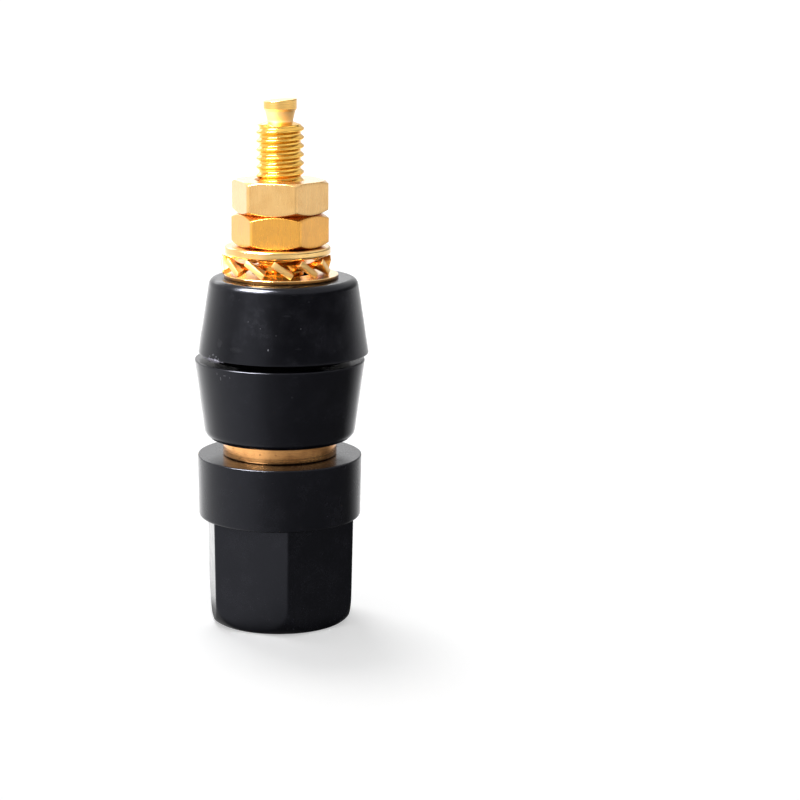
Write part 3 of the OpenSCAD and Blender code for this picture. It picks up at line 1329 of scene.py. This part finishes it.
    def tip(self, stud: BMesh) -> BMesh:
        """Carries the stud's end on into the waist and the solder tip, which is cut off on the slant.

        Args:
            stud: the stud.

        Returns:
            The waist, the flare and the tip.
        """
        end = self.tip_low + self.tip_height
        profile = open_profile([
            (self.waist_radius, self.waist_low),
            (self.waist_radius, self.flare_low, self.waist_round),
            (self.shoulder_radius, self.tip_low - self.shoulder_drop, self.shoulder_round),
            (self.tip_radius, self.tip_low, self.shoulder_round),
            (self.tip_radius, end, self.tip_edge),
            (0.0, end),
        ])
        bm = continued(stud, self.waist_low, profile[1:])
        for v in bm.verts:
            share = min(max((v.co.z - self.tip_low) / self.tip_height, 0.0), 1.0)
            v.co.z += share * self.tip_slant * v.co.x
        return bm

    def flange(self, stud: BMesh) -> BMesh:
        """Carries the stud's lower end on into the flange and the plain neck below it.

        Args:
            stud: the stud.

        Returns:
            The flange and the neck.
        """
        neck_radius = self.front_radius - self.thread_depth * self.front_pitch - self.neck_play
        profile = open_profile([
            (self.stud_radius, self.flange_top),
            (self.seat.radius, self.flange_top, self.flange_edge),
            (self.seat.radius, self.flange_low, self.flange_edge),
            (self.front_radius, self.flange_low, self.neck_round),
            (self.front_radius, self.front_thread_top + self.neck_taper, self.neck_round),
            (neck_radius, self.front_thread_top, self.neck_round),
            (neck_radius, self.neck_low),
        ])
        return continued(stud, self.flange_top, profile[1:])

    def bore(self, front: BMesh) -> BMesh:
        """Carries the front thread on into its bevelled mouth and the plug bore with its drill point.

        Args:
            front: the front section's thread.

        Returns:
            The mouth and the bore.
        """
        end = self.seat.low + self.socket_depth
        profile = open_profile([
            (self.front_radius, self.mouth),
            (self.front_radius - self.mouth_bevel, self.seat.low, self.mouth_round),
            (self.socket_radius + self.mouth_bevel, self.seat.low, self.mouth_round),
            (self.socket_radius, self.mouth),
            (self.socket_radius, end),
            (0.0, end + self.socket_radius / math.tan(self.drill_angle / 2)),
        ])
        return continued(front, self.mouth, profile[1:])

    def form(self) -> BMesh:
        """Joins the post's sections, still without the cross hole.

        Returns:
            One closed mesh.
        """
        front_high = self.front_thread_top - self.front_runout
        stud = self.stud()
        front = self.thread(self.front_radius, self.front_pitch, self.mouth, front_high)
        bm = joined([stud, self.tip(stud), self.flange(stud), front, self.bore(front)])
        bmesh.ops.bridge_loops(bm, edges=open_rim(bm, self.neck_low) + open_rim(bm, front_high))
        return bm

    def drill(self, post: bpy.types.Object) -> None:
        """Drills the cross hole for a wire through the post's neck.

        Args:
            post: the post.
        """
        bm = bmesh.new()
        radius = self.wire_hole_radius * MM
        bmesh.ops.create_cone(
            bm, cap_ends=True, segments=self.wire_hole_steps, radius1=radius, radius2=radius,
            depth=4 * self.front_radius * MM,
        )
        height = self.flange_low - self.wire_hole_land - self.wire_hole_radius
        place = Matrix.Translation((0, 0, height * MM)) @ Matrix.Rotation(math.pi / 2, 4, "X")
        bmesh.ops.transform(bm, matrix=place, verts=bm.verts)
        drill = meshed("wire_drill", bm)
        cut = post.modifiers.new("wire_hole", "BOOLEAN")
        cut.object = drill
        cut.operation = "DIFFERENCE"
        applied(post)
        mesh = drill.data
        bpy.data.objects.remove(drill)
        bpy.data.meshes.remove(mesh)

    def build(self) -> list[bpy.types.Object]:
        """Makes the post.

        Returns:
            The one piece.
        """
        post = self.piece(self.form(), "gilt_post", "post", POST_GOLD)
        self.drill(post)
        self.dress(post, POST_GOLD)
        self.refinish(post, FLANGE_GOLD, lambda face: face.center.z / MM < self.flange_top)
        self.refinish(post, FLARE_GOLD, lambda face: face.center.z / MM > self.waist_low)
        self.refinish(post, TIP_GOLD, lambda face: face.center.z / MM > self.tip_low)
        return [post]


@dataclass(frozen=True)
class Mark:
    """A mark on a bush's wall: direction from the front in degrees, then millimetres and strength."""

    azimuth: float
    from_rim: float
    wide: float
    tall: float
    amount: float


@dataclass
class Insulators(SubAssembly):
    """The two tapered bushes that clamp the panel, and the flash on the rear one's rim.

    The flash's peak has a strength, a place and a width, and each ripple a strength, its radians from end
    to end and a shift. Strengths are shares of the flash's radius, and the peak's place and width are
    shares of its length.
    """

    rim_radius: float = 7.025
    rim_round: float = 0.1
    front_end: float = 6.15
    rear_end: float = 6.05
    front_round: float = 0.9
    rear_round: float = 0.65
    bore_radius: float = 2.4
    bore_round: float = 0.1
    spigot_radius: float = 3.5
    spigot_height: float = 3.0
    spigot_edge: float = 0.2
    recess_radius: float = 3.95
    recess_height: float = 2.5
    roughness: float = 0.2
    matt_margin: float = 1.4
    flash_colour: Colour = (0.20, 0.185, 0.22)
    flash_roughness: float = 0.5
    flash_from: float = math.radians(-72)
    flash_to: float = math.radians(-46)
    flash_steps: int = 48
    flash_sides: int = 10
    flash_radius: float = 0.22
    flash_inset: float = 0.055
    flash_base: float = 0.35
    flash_peak: Triple = (0.5, 0.62, 0.18)
    flash_ripples: tuple[Triple, ...] = ((0.18, 19.0, 0.0), (0.12, 47.0, 1.0))
    flash_end: float = 0.02
    flash_least: float = 0.05
    rear_marks: tuple[Mark, ...] = (
        Mark(-12.6, 1.32, 0.07, 0.12, 0.9),
        Mark(-28.0, 3.46, 0.05, 0.05, 0.5),
        Mark(-18.7, 2.98, 0.05, 0.05, 0.4),
        Mark(-7.4, 2.47, 0.05, 0.05, 0.45),
        Mark(9.9, 3.01, 0.05, 0.06, 0.4),
        Mark(-51.4, 1.43, 0.35, 0.4, 0.08),
        Mark(-36.4, 1.16, 0.7, 0.25, 0.05),
        Mark(-61.0, 0.28, 0.14, 0.10, 0.45),
        Mark(-57.0, 0.46, 0.12, 0.10, 0.8),
        Mark(-53.5, 0.36, 0.12, 0.08, 0.7),
        Mark(-51.0, 0.20, 0.10, 0.09, 0.6),
    )
    front_marks: tuple[Mark, ...] = (
        Mark(-45.7, 0.82, 0.07, 0.2, 0.5),
        Mark(-41.8, 0.51, 0.2, 0.06, 0.45),
        Mark(-48.5, 0.45, 0.12, 0.12, 0.3),
        Mark(-37.5, 0.62, 0.06, 0.14, 0.3),
    )
    front: Seat = field(default_factory=lambda: Seat.of("front_insulator"))
    rear: Seat = field(default_factory=lambda: Seat.of("rear_insulator"))

    @property
    def panel(self) -> float:
        """Height at which the panel rests on the front bush."""
        return self.front.high - self.spigot_height

    @property
    def recess_top(self) -> float:
        """Height of the recess's end in the rear bush."""
        return self.rear.low + self.recess_height

    @property
    def matt_radius(self) -> float:
        """Radius within which the panel faces are matt."""
        return self.rim_radius - self.matt_margin

    def finish(
        self, name: str, x: float, rim_height: float, end: Point, marks: Iterable[Mark]
    ) -> BlackMoulding:
        """Gives a bush's finish, with the marks on its wall.

        Args:
            name: the finish's name.
            x: how far the bush sits off the axis.
            rim_height: height of its rim.
            end: radius and height of its narrow end.
            marks: the marks on its wall.

        Returns:
            The finish.
        """
        end_radius, end_height = end
        spots = []
        for mark in marks:
            share = mark.from_rim / abs(end_height - rim_height)
            radius = self.rim_radius + (end_radius - self.rim_radius) * share
            height = rim_height + (end_height - rim_height) * share
            turn = math.radians(mark.azimuth)
            centre = (x + radius * math.sin(turn), -radius * math.cos(turn), height)
            spots.append(Spot(centre, (mark.wide, mark.wide, mark.tall), mark.amount))
        return BlackMoulding(name, BLACK, self.roughness, tuple(spots))

    def matt_faces(self, bush: bpy.types.Object, low: float, high: float) -> None:
        """Gives the faces of a bush that look at the panel the matt finish.

        Args:
            bush: the bush.
            low: height that they are above.
            high: height that they are below.
        """

        def at_panel(face: bpy.types.MeshPolygon) -> bool:
            """Tells whether a face is between the heights and inside the rim's margin."""
            radius = math.hypot(face.center.x, face.center.y) / MM
            return low < face.center.z / MM < high and radius < self.matt_radius

        self.refinish(bush, PANEL_BLACK, at_panel)

    def front_bush(self) -> BMesh:
        """Turns the bush under the panel, wide end up, with its spigot.

        Returns:
            The bush.
        """
        return turned([
            (self.bore_radius, self.front.low, self.bore_round),
            (self.front_end, self.front.low, self.front_round),
            (self.rim_radius, self.panel, self.rim_round),
            (self.matt_radius, self.panel),
            (self.spigot_radius, self.panel),
            (self.spigot_radius, self.front.high, self.spigot_edge),
            (self.bore_radius, self.front.high, self.bore_round),
        ])

    def rear_bush(self) -> BMesh:
        """Turns the bush over the panel, wide end down, with the spigot's recess.

        Returns:
            The bush.
        """
        bm = turned([
            (self.recess_radius, self.rear.low, self.bore_round),
            (self.matt_radius, self.rear.low),
            (self.rim_radius, self.rear.low, self.rim_round),
            (self.rear_end, self.rear.high, self.rear_round),
            (self.bore_radius, self.rear.high, self.bore_round),
            (self.bore_radius, self.recess_top),
            (self.recess_radius, self.recess_top),
        ])
        bmesh.ops.translate(bm, vec=(self.rear.x, 0, 0), verts=bm.verts)
        return bm

    def flash_thickness(self, share: float) -> float:
        """Finds how thick the flash is, from its ends to its peak.

        Args:
            share: how far along the flash.

        Returns:
            The thickness, as a share of the flash's radius.
        """
        strength, place, width = self.flash_peak
        ragged = self.flash_base + strength * math.exp(-(((share - place) / width) ** 2))
        for strength, radians, shift in self.flash_ripples:
            ragged += strength * math.sin(radians * share + shift)
        inward = min(max(share, self.flash_end), 1 - self.flash_end)
        return max(ragged * math.sin(math.pi * inward) ** 0.5, self.flash_least)

    def flash(self) -> BMesh:
        """Spins the ragged bead of flash along a stretch of the rear bush's rim.

        Returns:
            The flash.
        """
        bm = bmesh.new()
        length = self.flash_to - self.flash_from
        middle = self.rim_radius - self.flash_inset
        ring = bmesh.ops.create_circle(bm, segments=self.flash_sides, radius=1.0, cap_ends=True)["verts"]
        upright = Matrix.Rotation(math.pi / 2, 4, "X") @ Matrix.Scale(self.flash_radius, 4)
        aside = Matrix.Rotation(self.flash_from - math.pi / 2, 4, "Z")
        bmesh.ops.transform(bm, matrix=aside @ Matrix.Translation((middle, 0, 0)) @ upright, verts=ring)
        bmesh.ops.spin(
            bm, geom=[*bm.verts, *bm.edges, *bm.faces], cent=(0, 0, 0), axis=(0, 0, 1), angle=length,
            steps=self.flash_steps,
        )
        for v in bm.verts:
            azimuth = math.atan2(v.co.x, -v.co.y)
            centre = Vector((middle * math.sin(azimuth), -middle * math.cos(azimuth), 0))
            v.co = centre + (v.co - centre) * self.flash_thickness((azimuth - self.flash_from) / length)
        bmesh.ops.translate(bm, vec=(self.rear.x, 0, self.rear.low), verts=bm.verts)
        return bm

    def build(self) -> list[bpy.types.Object]:
        """Makes both bushes and the flash.

        Returns:
            The three pieces.
        """
        front_end = (self.front_end, self.front.low)
        rear_end = (self.rear_end, self.rear.high)
        front_black = self.finish("front_bush_black", 0.0, self.panel, front_end, self.front_marks)
        rear_black = self.finish("rear_bush_black", self.rear.x, self.rear.low, rear_end, self.rear_marks)
        flash_grey = BlackMoulding("flash_grey", self.flash_colour, self.flash_roughness)
        front = self.piece(self.front_bush(), "front_bush", "front_insulator", front_black)
        rear = self.piece(self.rear_bush(), "rear_bush", "rear_insulator", rear_black)
        flash = self.addition(self.flash(), "rim_flash", "rear_insulator", flash_grey)
        self.matt_faces(front, self.panel - self.rim_round, self.front.high)
        self.matt_faces(rear, 0.0, self.recess_top + self.rim_round)
        return [front, rear, flash]


@dataclass
class Washers(SubAssembly):
    """The contact washer, the toothed washer and the flat washer over them."""

    columns: int = 144
    bore_radius: float = 2.35
    contact_edge: float = 0.05
    # Contact ring faces that look less upwards than this get the painted reflection
    painted_reflection_normal: float = 0.3
    flat_edge: float = 0.2
    flat_bore_edge: float = 0.08
    star_radius: float = 4.45
    star_ring: float = 3.2
    star_thickness: float = 0.5
    star_teeth: int = 12
    star_turn: float = math.radians(5)
    star_x: float = -0.35
    recess_radius: float = 3.9
    tooth_segments: int = 6
    root_segments: int = 4
    tooth_steps: int = 12
    tooth_root: float = 1.15
    tooth_tip: float = 1.95
    tooth_twist: float = math.radians(36)
    tooth_edge: float = 0.06
    tooth_edge_steps: int = 2
    tooth_edge_bend: float = math.radians(40)
    contact: Seat = field(default_factory=lambda: Seat.of("contact_washer"))
    star: Seat = field(default_factory=lambda: Seat.of("star_washer"))
    flat: Seat = field(default_factory=lambda: Seat.of("flat_washer"))

    def ring(self, seat: Seat, edge: float, bore_edge: float) -> BMesh:
        """Turns a plain washer with rounded edges.

        Args:
            seat: where it lies.
            edge: rounding of its rim.
            bore_edge: rounding of its bore.

        Returns:
            The washer.
        """
        bm = turned([
            (self.bore_radius, seat.low, bore_edge),
            (seat.radius, seat.low, edge),
            (seat.radius, seat.high, edge),
            (self.bore_radius, seat.high, bore_edge),
        ], self.columns)
        bmesh.ops.translate(bm, vec=(seat.x, 0, 0), verts=bm.verts)
        return bm

    def tooth_sheet(self) -> BMesh:
        """Makes the toothed washer's middle sheet: a ring, with teeth extruded from its rim and twisted.

        Returns:
            The sheet.
        """
        bm = bmesh.new()
        segments = self.star_teeth * self.tooth_segments
        half_root = FULL_TURN / segments * self.root_segments / 2
        bmesh.ops.create_circle(bm, segments=segments, radius=self.bore_radius)
        outer = drawn(bm, bm.edges[:], [(self.star_ring, 0.0)])
        for i in range(self.star_teeth):
            middle = i * FULL_TURN / self.star_teeth
            root = []
            for e in outer:
                centre = (e.verts[0].co + e.verts[1].co) / 2
                if abs(wrapped(math.atan2(centre.y, centre.x) - middle)) < half_root:
                    root.append(e)
            self.extrude_tooth(bm, root, middle, half_root)
        height = (self.star.low + self.star.high) / 2
        place = Matrix.Translation((self.star_x, 0, height)) @ Matrix.Rotation(self.star_turn, 4, "Z")
        bmesh.ops.transform(bm, matrix=place, verts=bm.verts)
        return bm

    def extrude_tooth(self, bm: BMesh, edges: list[BMEdge], middle: float, half_root: float) -> None:
        """Extrudes one tooth outwards, wider and more twisted with each step.

        Args:
            bm: the washer's sheet.
            edges: the rim's edges at the tooth's root.
            middle: the tooth's direction.
            half_root: half the angle that the root takes up.
        """
        outward = Vector((math.cos(middle), math.sin(middle), 0))
        across = Vector((-math.sin(middle), math.cos(middle), 0))
        side = bm.verts.layers.float.get("side") or bm.verts.layers.float.new("side")
        for v in {v for e in edges for v in e.verts}:
            v[side] = wrapped(math.atan2(v.co.y, v.co.x) - middle) / half_root
        for i in range(1, self.tooth_steps + 1):
            share = i / self.tooth_steps
            verts, new_edges = new_ring(bmesh.ops.extrude_edge_only(bm, edges=edges))
            reach = self.star_ring + (self.star_radius - self.star_ring) * share
            half = (self.tooth_root + (self.tooth_tip - self.tooth_root) * share) / 2
            turn = -self.tooth_twist * math.sin(share * math.pi / 2)
            for v in verts:
                v.co = outward * reach + across * (v[side] * half * math.cos(turn))
                v.co.z = v[side] * half * math.sin(turn)
            lately = set(verts)
            edges = [e for e in new_edges if set(e.verts) <= lately]

    def tooth_washer(self) -> bpy.types.Object:
        """Makes the toothed washer from its sheet, with painted shade and inter-reflection, a deeper,
        redder gold, inside its ring of teeth.

        Returns:
            The piece.
        """
        star = self.piece(self.tooth_sheet(), "tooth_washer", "star_washer", TOOTH_GOLD)
        wall = star.modifiers.new("wall", "SOLIDIFY")
        wall.thickness = self.star_thickness * MM
        wall.offset = 0.0
        wall.use_even_offset = True
        edge = star.modifiers.new("edge", "BEVEL")
        edge.width = self.tooth_edge * MM
        edge.segments = self.tooth_edge_steps
        edge.limit_method = "ANGLE"
        edge.angle_limit = self.tooth_edge_bend
        applied(star)
        self.dress(star, TOOTH_GOLD)

        def in_recess(face: bpy.types.MeshPolygon) -> bool:
            """Tells whether a face is inside the ring of teeth."""
            return math.hypot(face.center.x / MM - self.star_x, face.center.y / MM) < self.recess_radius

        # Painted shade and inter-reflection: faces inside the ring of teeth get the deeper, redder gold
        self.refinish(star, RECESS_PAINTED_SHADE_GOLD, in_recess)
        return star

    def build(self) -> list[bpy.types.Object]:
        """Makes the three washers.

        Returns:
            The three pieces.
        """
        contact = self.ring(self.contact, self.contact_edge, self.contact_edge)
        flat = self.ring(self.flat, self.flat_edge, self.flat_bore_edge)
        star = self.tooth_washer()
        ring = self.piece(contact, "contact_ring", "contact_washer", CONTACT_GOLD)
        # Painted reflection and shade: the contact ring's wall and underside get the dark brown gold
        self.refinish(ring, RING_WALL_PAINTED_REFLECTION_GOLD, lambda face: face.normal.z < self.painted_reflection_normal)
        return [ring, star, self.piece(flat, "plain_washer", "flat_washer", WASHER_GOLD)]


@dataclass
class Nuts(SubAssembly):
    """The two hexagon nuts on the stud."""

    columns: int = 360
    half_width: float = 3.5
    corner_round: float = 0.25
    lower_faces: Span = (3.36, 3.36)
    upper_faces: Span = (3.40, 3.62)
    chamfer: float = math.tan(math.radians(30))
    edge: float = 0.05
    edge_break: float = 0.08
    edge_steps: int = 4
    face_round: float = 0.12
    hold: float = 0.25
    bore_radius: float = 2.0
    countersink: float = 0.12
    # Faces that look further down than this get the painted shade
    painted_shade_normal: float = -0.5
    lower_turn: float = math.radians(52)
    upper_turn: float = math.radians(47)
    lower: Seat = field(default_factory=lambda: Seat.of("lower_nut"))
    upper: Seat = field(default_factory=lambda: Seat.of("upper_nut"))

    def nut(self, seat: Seat, turn: float, faces: Span) -> BMesh:
        """Makes a nut at its seat.

        Args:
            seat: where it stands.
            turn: direction of one of its corners.
            faces: radii at which the chamfers of its corners meet its lower and upper face.

        Returns:
            The nut, chamfered on both faces.
        """

        def section(theta: float) -> list[Point]:
            """Draws the nut's section.

            Args:
                theta: the direction.

            Returns:
                Its section there.
            """
            wall = hexagon(theta - turn, self.half_width, self.corner_round)
            foot, head = (min(face, wall - self.edge_break) for face in faces)
            low = seat.low + (wall - foot) * self.chamfer
            high = seat.high - (wall - head) * self.chamfer
            mouth = self.bore_radius + self.countersink
            return rounded([
                (self.bore_radius, seat.low + self.countersink),
                (mouth, seat.low),
                (foot - self.hold, seat.low),
                (foot, seat.low, self.face_round),
                (wall, low, self.edge),
                (wall, low + self.hold),
                (wall, high - self.hold),
                (wall, high, self.edge),
                (head, seat.high, self.face_round),
                (head - self.hold, seat.high),
                (mouth, seat.high),
                (self.bore_radius, seat.high - self.countersink),
            ], steps=self.edge_steps)

        return lofted(section, self.columns)

    def build(self) -> list[bpy.types.Object]:
        """Makes both nuts, with painted shade, a darker gold, on the faces that look down into a gap.

        Returns:
            Both pieces.
        """
        lower = self.nut(self.lower, self.lower_turn, self.lower_faces)
        upper = self.nut(self.upper, self.upper_turn, self.upper_faces)
        made = [
            # The lower nut's deeper orange gold is a painted reflection of red surroundings
            self.piece(lower, "clamp_nut", "lower_nut", CLAMP_NUT_PAINTED_REFLECTION_GOLD),
            self.piece(upper, "lock_nut", "upper_nut", LOCK_GOLD),
        ]
        # Painted shade: faces that look down into a gap get the darker gold
        for nut in made:
            self.refinish(nut, NUT_PAINTED_SHADE_GOLD, lambda face: face.normal.z < self.painted_shade_normal)
        return made


# Studio


@dataclass(frozen=True)
class Softbox:
    """A lamp that looks at the socket, in degrees and metres, with its radiance against a white of 1."""

    name: str
    azimuth: float
    elevation: float
    width: float
    height: float
    radiance: float
    distance: float = 0.5
    only_gloss: bool = True

    def place(self, target: Vector) -> None:
        """Hangs the lamp round a target, with azimuth 0 on the camera's side and 90 to its right.

        Args:
            target: what it looks at.
        """
        turn = math.radians(self.azimuth)
        rise = math.radians(self.elevation)
        away = Vector((math.sin(turn) * math.cos(rise), -math.cos(turn) * math.cos(rise), math.sin(rise)))
        data = bpy.data.lights.new(self.name, "AREA")
        data.shape = "RECTANGLE"
        data.size = self.width
        data.size_y = self.height
        data.energy = self.radiance * math.pi * self.width * self.height
        lamp = linked(self.name, data)
        lamp.location = target + away * self.distance
        lamp.rotation_euler = away.to_track_quat("Z", "Y").to_euler()
        lamp.visible_diffuse = not self.only_gloss


@dataclass
class Studio:
    """Floor, world, lamps and camera.

    The ramps give how bright the surroundings are in mirrored rays, by degrees round the socket
    from the camera's side towards its right. Lengths are in metres, but the camera's place, lens and
    sensor are in millimetres.
    """

    floor_size: float = 6.0
    floor_drop: float = 0.00001
    floor_colour: Colour = (0.7, 0.7, 0.7)
    near_glow: float = 0.46
    far_glow: float = 0.75
    glow_reach: Span = (0.12, 0.5)
    world_light: float = 0.3
    sun_strength: float = 0.5
    sun_angle: float = math.radians(70)
    near_reach: Span = (0.12, 0.20)
    # Painted shadow: the floor as mirrors show it is dimmed to this share close to the socket
    contact_shade: float = 0.3
    contact_reach: Span = (0.0062, 0.0098)
    ceiling: float = 0.85
    ceiling_from: Span = (0.18, 0.5)
    horizon: Ramp = (
        (-180, 1.15), (-165, 1.2), (-108, 1.0), (-82, 0.6), (-60, 0.95), (-38, 0.75), (-19, 0.32),
        (0, 0.12), (20, 0.12), (80, 0.06), (108, 0.1), (150, 0.4), (180, 1.15),
    )
    near_floor: Ramp = (
        (-180, 2.4), (-168, 2.3), (-150, 1.8), (-108, 1.2), (-60, 1.2), (-38, 1.0), (-19, 0.55),
        (0, 0.36), (20, 0.25), (60, 0.2), (108, 0.1), (150, 1.3), (180, 2.4),
    )
    far_floor: Ramp = (
        (-180, 1.75), (-165, 1.7), (-140, 1.25), (-115, 1.1), (-80, 1.0), (-40, 0.95), (-20, 0.88),
        (0, 0.95), (25, 1.2), (50, 1.5), (75, 1.35), (100, 1.1), (150, 0.95), (170, 1.15), (180, 1.75),
    )
    camera_place: Triple = (-6.98, -190.0, 57.18)
    camera_yaw: float = 0.0891
    camera_pitch: float = 0.2000
    camera_roll: float = 0.0111
    camera_lens: float = 105.16
    camera_sensor: float = 36.0
    camera_clip: float = 0.01
    lamps: tuple[Softbox, ...] = (
        Softbox("front_left", azimuth=-59.0, elevation=46.0, width=0.34, height=0.28, radiance=76.0),
        Softbox(
            "back_left", azimuth=-160.0, elevation=65.0, width=0.16, height=0.16, radiance=15.0,
            only_gloss=False,
        ),
        Softbox("back_low", azimuth=-165.0, elevation=26.0, width=0.4, height=0.12, radiance=2.5),
    )

    def azimuth(self, g: Graph, vector: Socket) -> Socket:
        """Turns a direction into its share of a full turn, with the camera's side in the middle.

        Args:
            g: the tree that is being wired.
            vector: the direction.

        Returns:
            The share.
        """
        axes = g.node("SeparateXYZ", {0: vector}).outputs
        angle = g.math("ARCTAN2", axes[0], g.scaled(axes[1], -1.0))
        return g.math("ADD", g.math("DIVIDE", angle, FULL_TURN), 0.5)

    def ramp(self, g: Graph, turn: Socket, levels: Ramp) -> Socket:
        """Reads a ramp round the socket.

        Args:
            g: the tree that is being wired.
            turn: share of a full turn.
            levels: the ramp's degrees and levels.

        Returns:
            The level there, as a grey.
        """
        made = g.node("ValToRGB", {0: turn})
        stops = made.color_ramp.elements
        while len(stops) < len(levels):
            stops.new(0.5)
        for stop, (degrees, level) in zip(stops, levels):
            stop.position = degrees / 360 + 0.5
            stop.color = (level, level, level, 1)
        return made.outputs[0]

    def floor_white(self) -> bpy.types.Material:
        """Makes the floor's material, which shows its two ramps in mirrored rays, with a painted shadow
        near the socket.

        Returns:
            The material.
        """
        material = bpy.data.materials.new("studio_floor")
        g = Graph.blank(material)
        rays = g.node("LightPath").outputs
        where = g.node("TexCoord").outputs["Object"]
        turn = self.azimuth(g, where)
        span = g.node("VectorMath", {0: where}, operation="LENGTH").outputs["Value"]
        away = g.spread(span, *self.near_reach)
        mirrored = g.mixed(away, self.ramp(g, turn, self.near_floor), self.ramp(g, turn, self.far_floor))
        matt = g.node("BsdfDiffuse", {"Color": (*self.floor_colour, 1)})
        shown = g.spread(span, *self.glow_reach, self.near_glow, self.far_glow)
        glow = g.node("Emission", {"Strength": g.math("MULTIPLY", rays["Is Camera Ray"], shown)})
        lit = g.node("AddShader", {0: matt.outputs[0], 1: glow.outputs[0]})
        # Painted shadow: the mirrored floor darkens close to the socket
        shade = g.spread(span, *self.contact_reach, self.contact_shade, 1.0)
        card = g.node("Emission", {"Color": mirrored, "Strength": shade})
        both = g.node("MixShader", {0: rays["Is Glossy Ray"], 1: lit.outputs[0], 2: card.outputs[0]})
        g.node("OutputMaterial", {"Surface": both.outputs[0]})
        return material

    def floor(self) -> None:
        """Lays a pale floor that shows white and keeps the socket's shadow."""
        bm = bmesh.new()
        bmesh.ops.create_grid(bm, x_segments=1, y_segments=1, size=self.floor_size / 2)
        bmesh.ops.translate(bm, vec=(0, 0, -self.floor_drop), verts=bm.verts)
        floor = meshed("studio_floor", bm)
        floor.data.materials.append(self.floor_white())

    def world(self) -> None:
        """Surrounds the socket with white that falls off to a dark side at the front right."""
        world = bpy.data.worlds.new("studio_world")
        bpy.context.scene.world = world
        g = Graph.blank(world)
        sky = g.node("TexCoord").outputs["Generated"]
        height = g.spread(g.node("SeparateXYZ", {0: sky}).outputs[2], *self.ceiling_from)
        round_about = self.ramp(g, self.azimuth(g, sky), self.horizon)
        mirrored = g.mixed(height, round_about, (self.ceiling, self.ceiling, self.ceiling, 1))
        rays = g.node("LightPath").outputs
        plain = g.node("Background", {"Color": (1, 1, 1, 1), "Strength": self.world_light})
        gloss = g.node("Background", {"Color": mirrored, "Strength": 1.0})
        white = g.node("Background", {"Color": (1, 1, 1, 1), "Strength": 1.0})
        in_gloss = g.node("MixShader", {0: rays["Is Glossy Ray"], 1: plain.outputs[0], 2: gloss.outputs[0]})
        clear = g.math("MAXIMUM", rays["Is Camera Ray"], rays["Is Transmission Ray"])
        shown = g.node("MixShader", {0: clear, 1: in_gloss.outputs[0], 2: white.outputs[0]})
        g.node("OutputWorld", {"Surface": shown.outputs[0]})

    def sun(self) -> None:
        """Lights the whole floor evenly from above, with a broad soft sun that no mirror shows."""
        data = bpy.data.lights.new("overhead", "SUN")
        data.energy = self.sun_strength
        data.angle = self.sun_angle
        lamp = linked("overhead", data)
        lamp.visible_glossy = False

    def camera(self) -> None:
        """Sets the camera at the photograph's viewing angle."""
        data = bpy.data.cameras.new("photo_camera")
        data.lens = self.camera_lens
        data.sensor_width = self.camera_sensor
        data.clip_start = self.camera_clip
        camera = linked("photo_camera", data)
        place = Matrix.Translation(Vector(self.camera_place) * MM)
        yaw = Matrix.Rotation(-self.camera_yaw, 4, "Z")
        pitch = Matrix.Rotation(math.pi / 2 - self.camera_pitch, 4, "X")
        roll = Matrix.Rotation(self.camera_roll, 4, "Z")
        camera.matrix_world = place @ yaw @ pitch @ roll
        bpy.context.scene.camera = camera

    def build(self) -> None:
        """Sets up the studio."""
        bpy.context.scene.view_settings.view_transform = "Standard"
        self.floor()
        self.world()
        self.sun()
        self.camera()
        middle = (CAD_BOX[0] + CAD_BOX[1]) / 2
        for lamp in self.lamps:
            lamp.place(middle)


def main() -> None:
    """Builds the socket's sub-assemblies in order, then the studio."""
    logging.basicConfig(level=logging.INFO, format="%(name)s: %(message)s")
    for assembly in (Knob(), Post(), Insulators(), Washers(), Nuts()):
        for made in assembly.build():
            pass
    Studio().build()


if __name__ == "__main__":
    main()
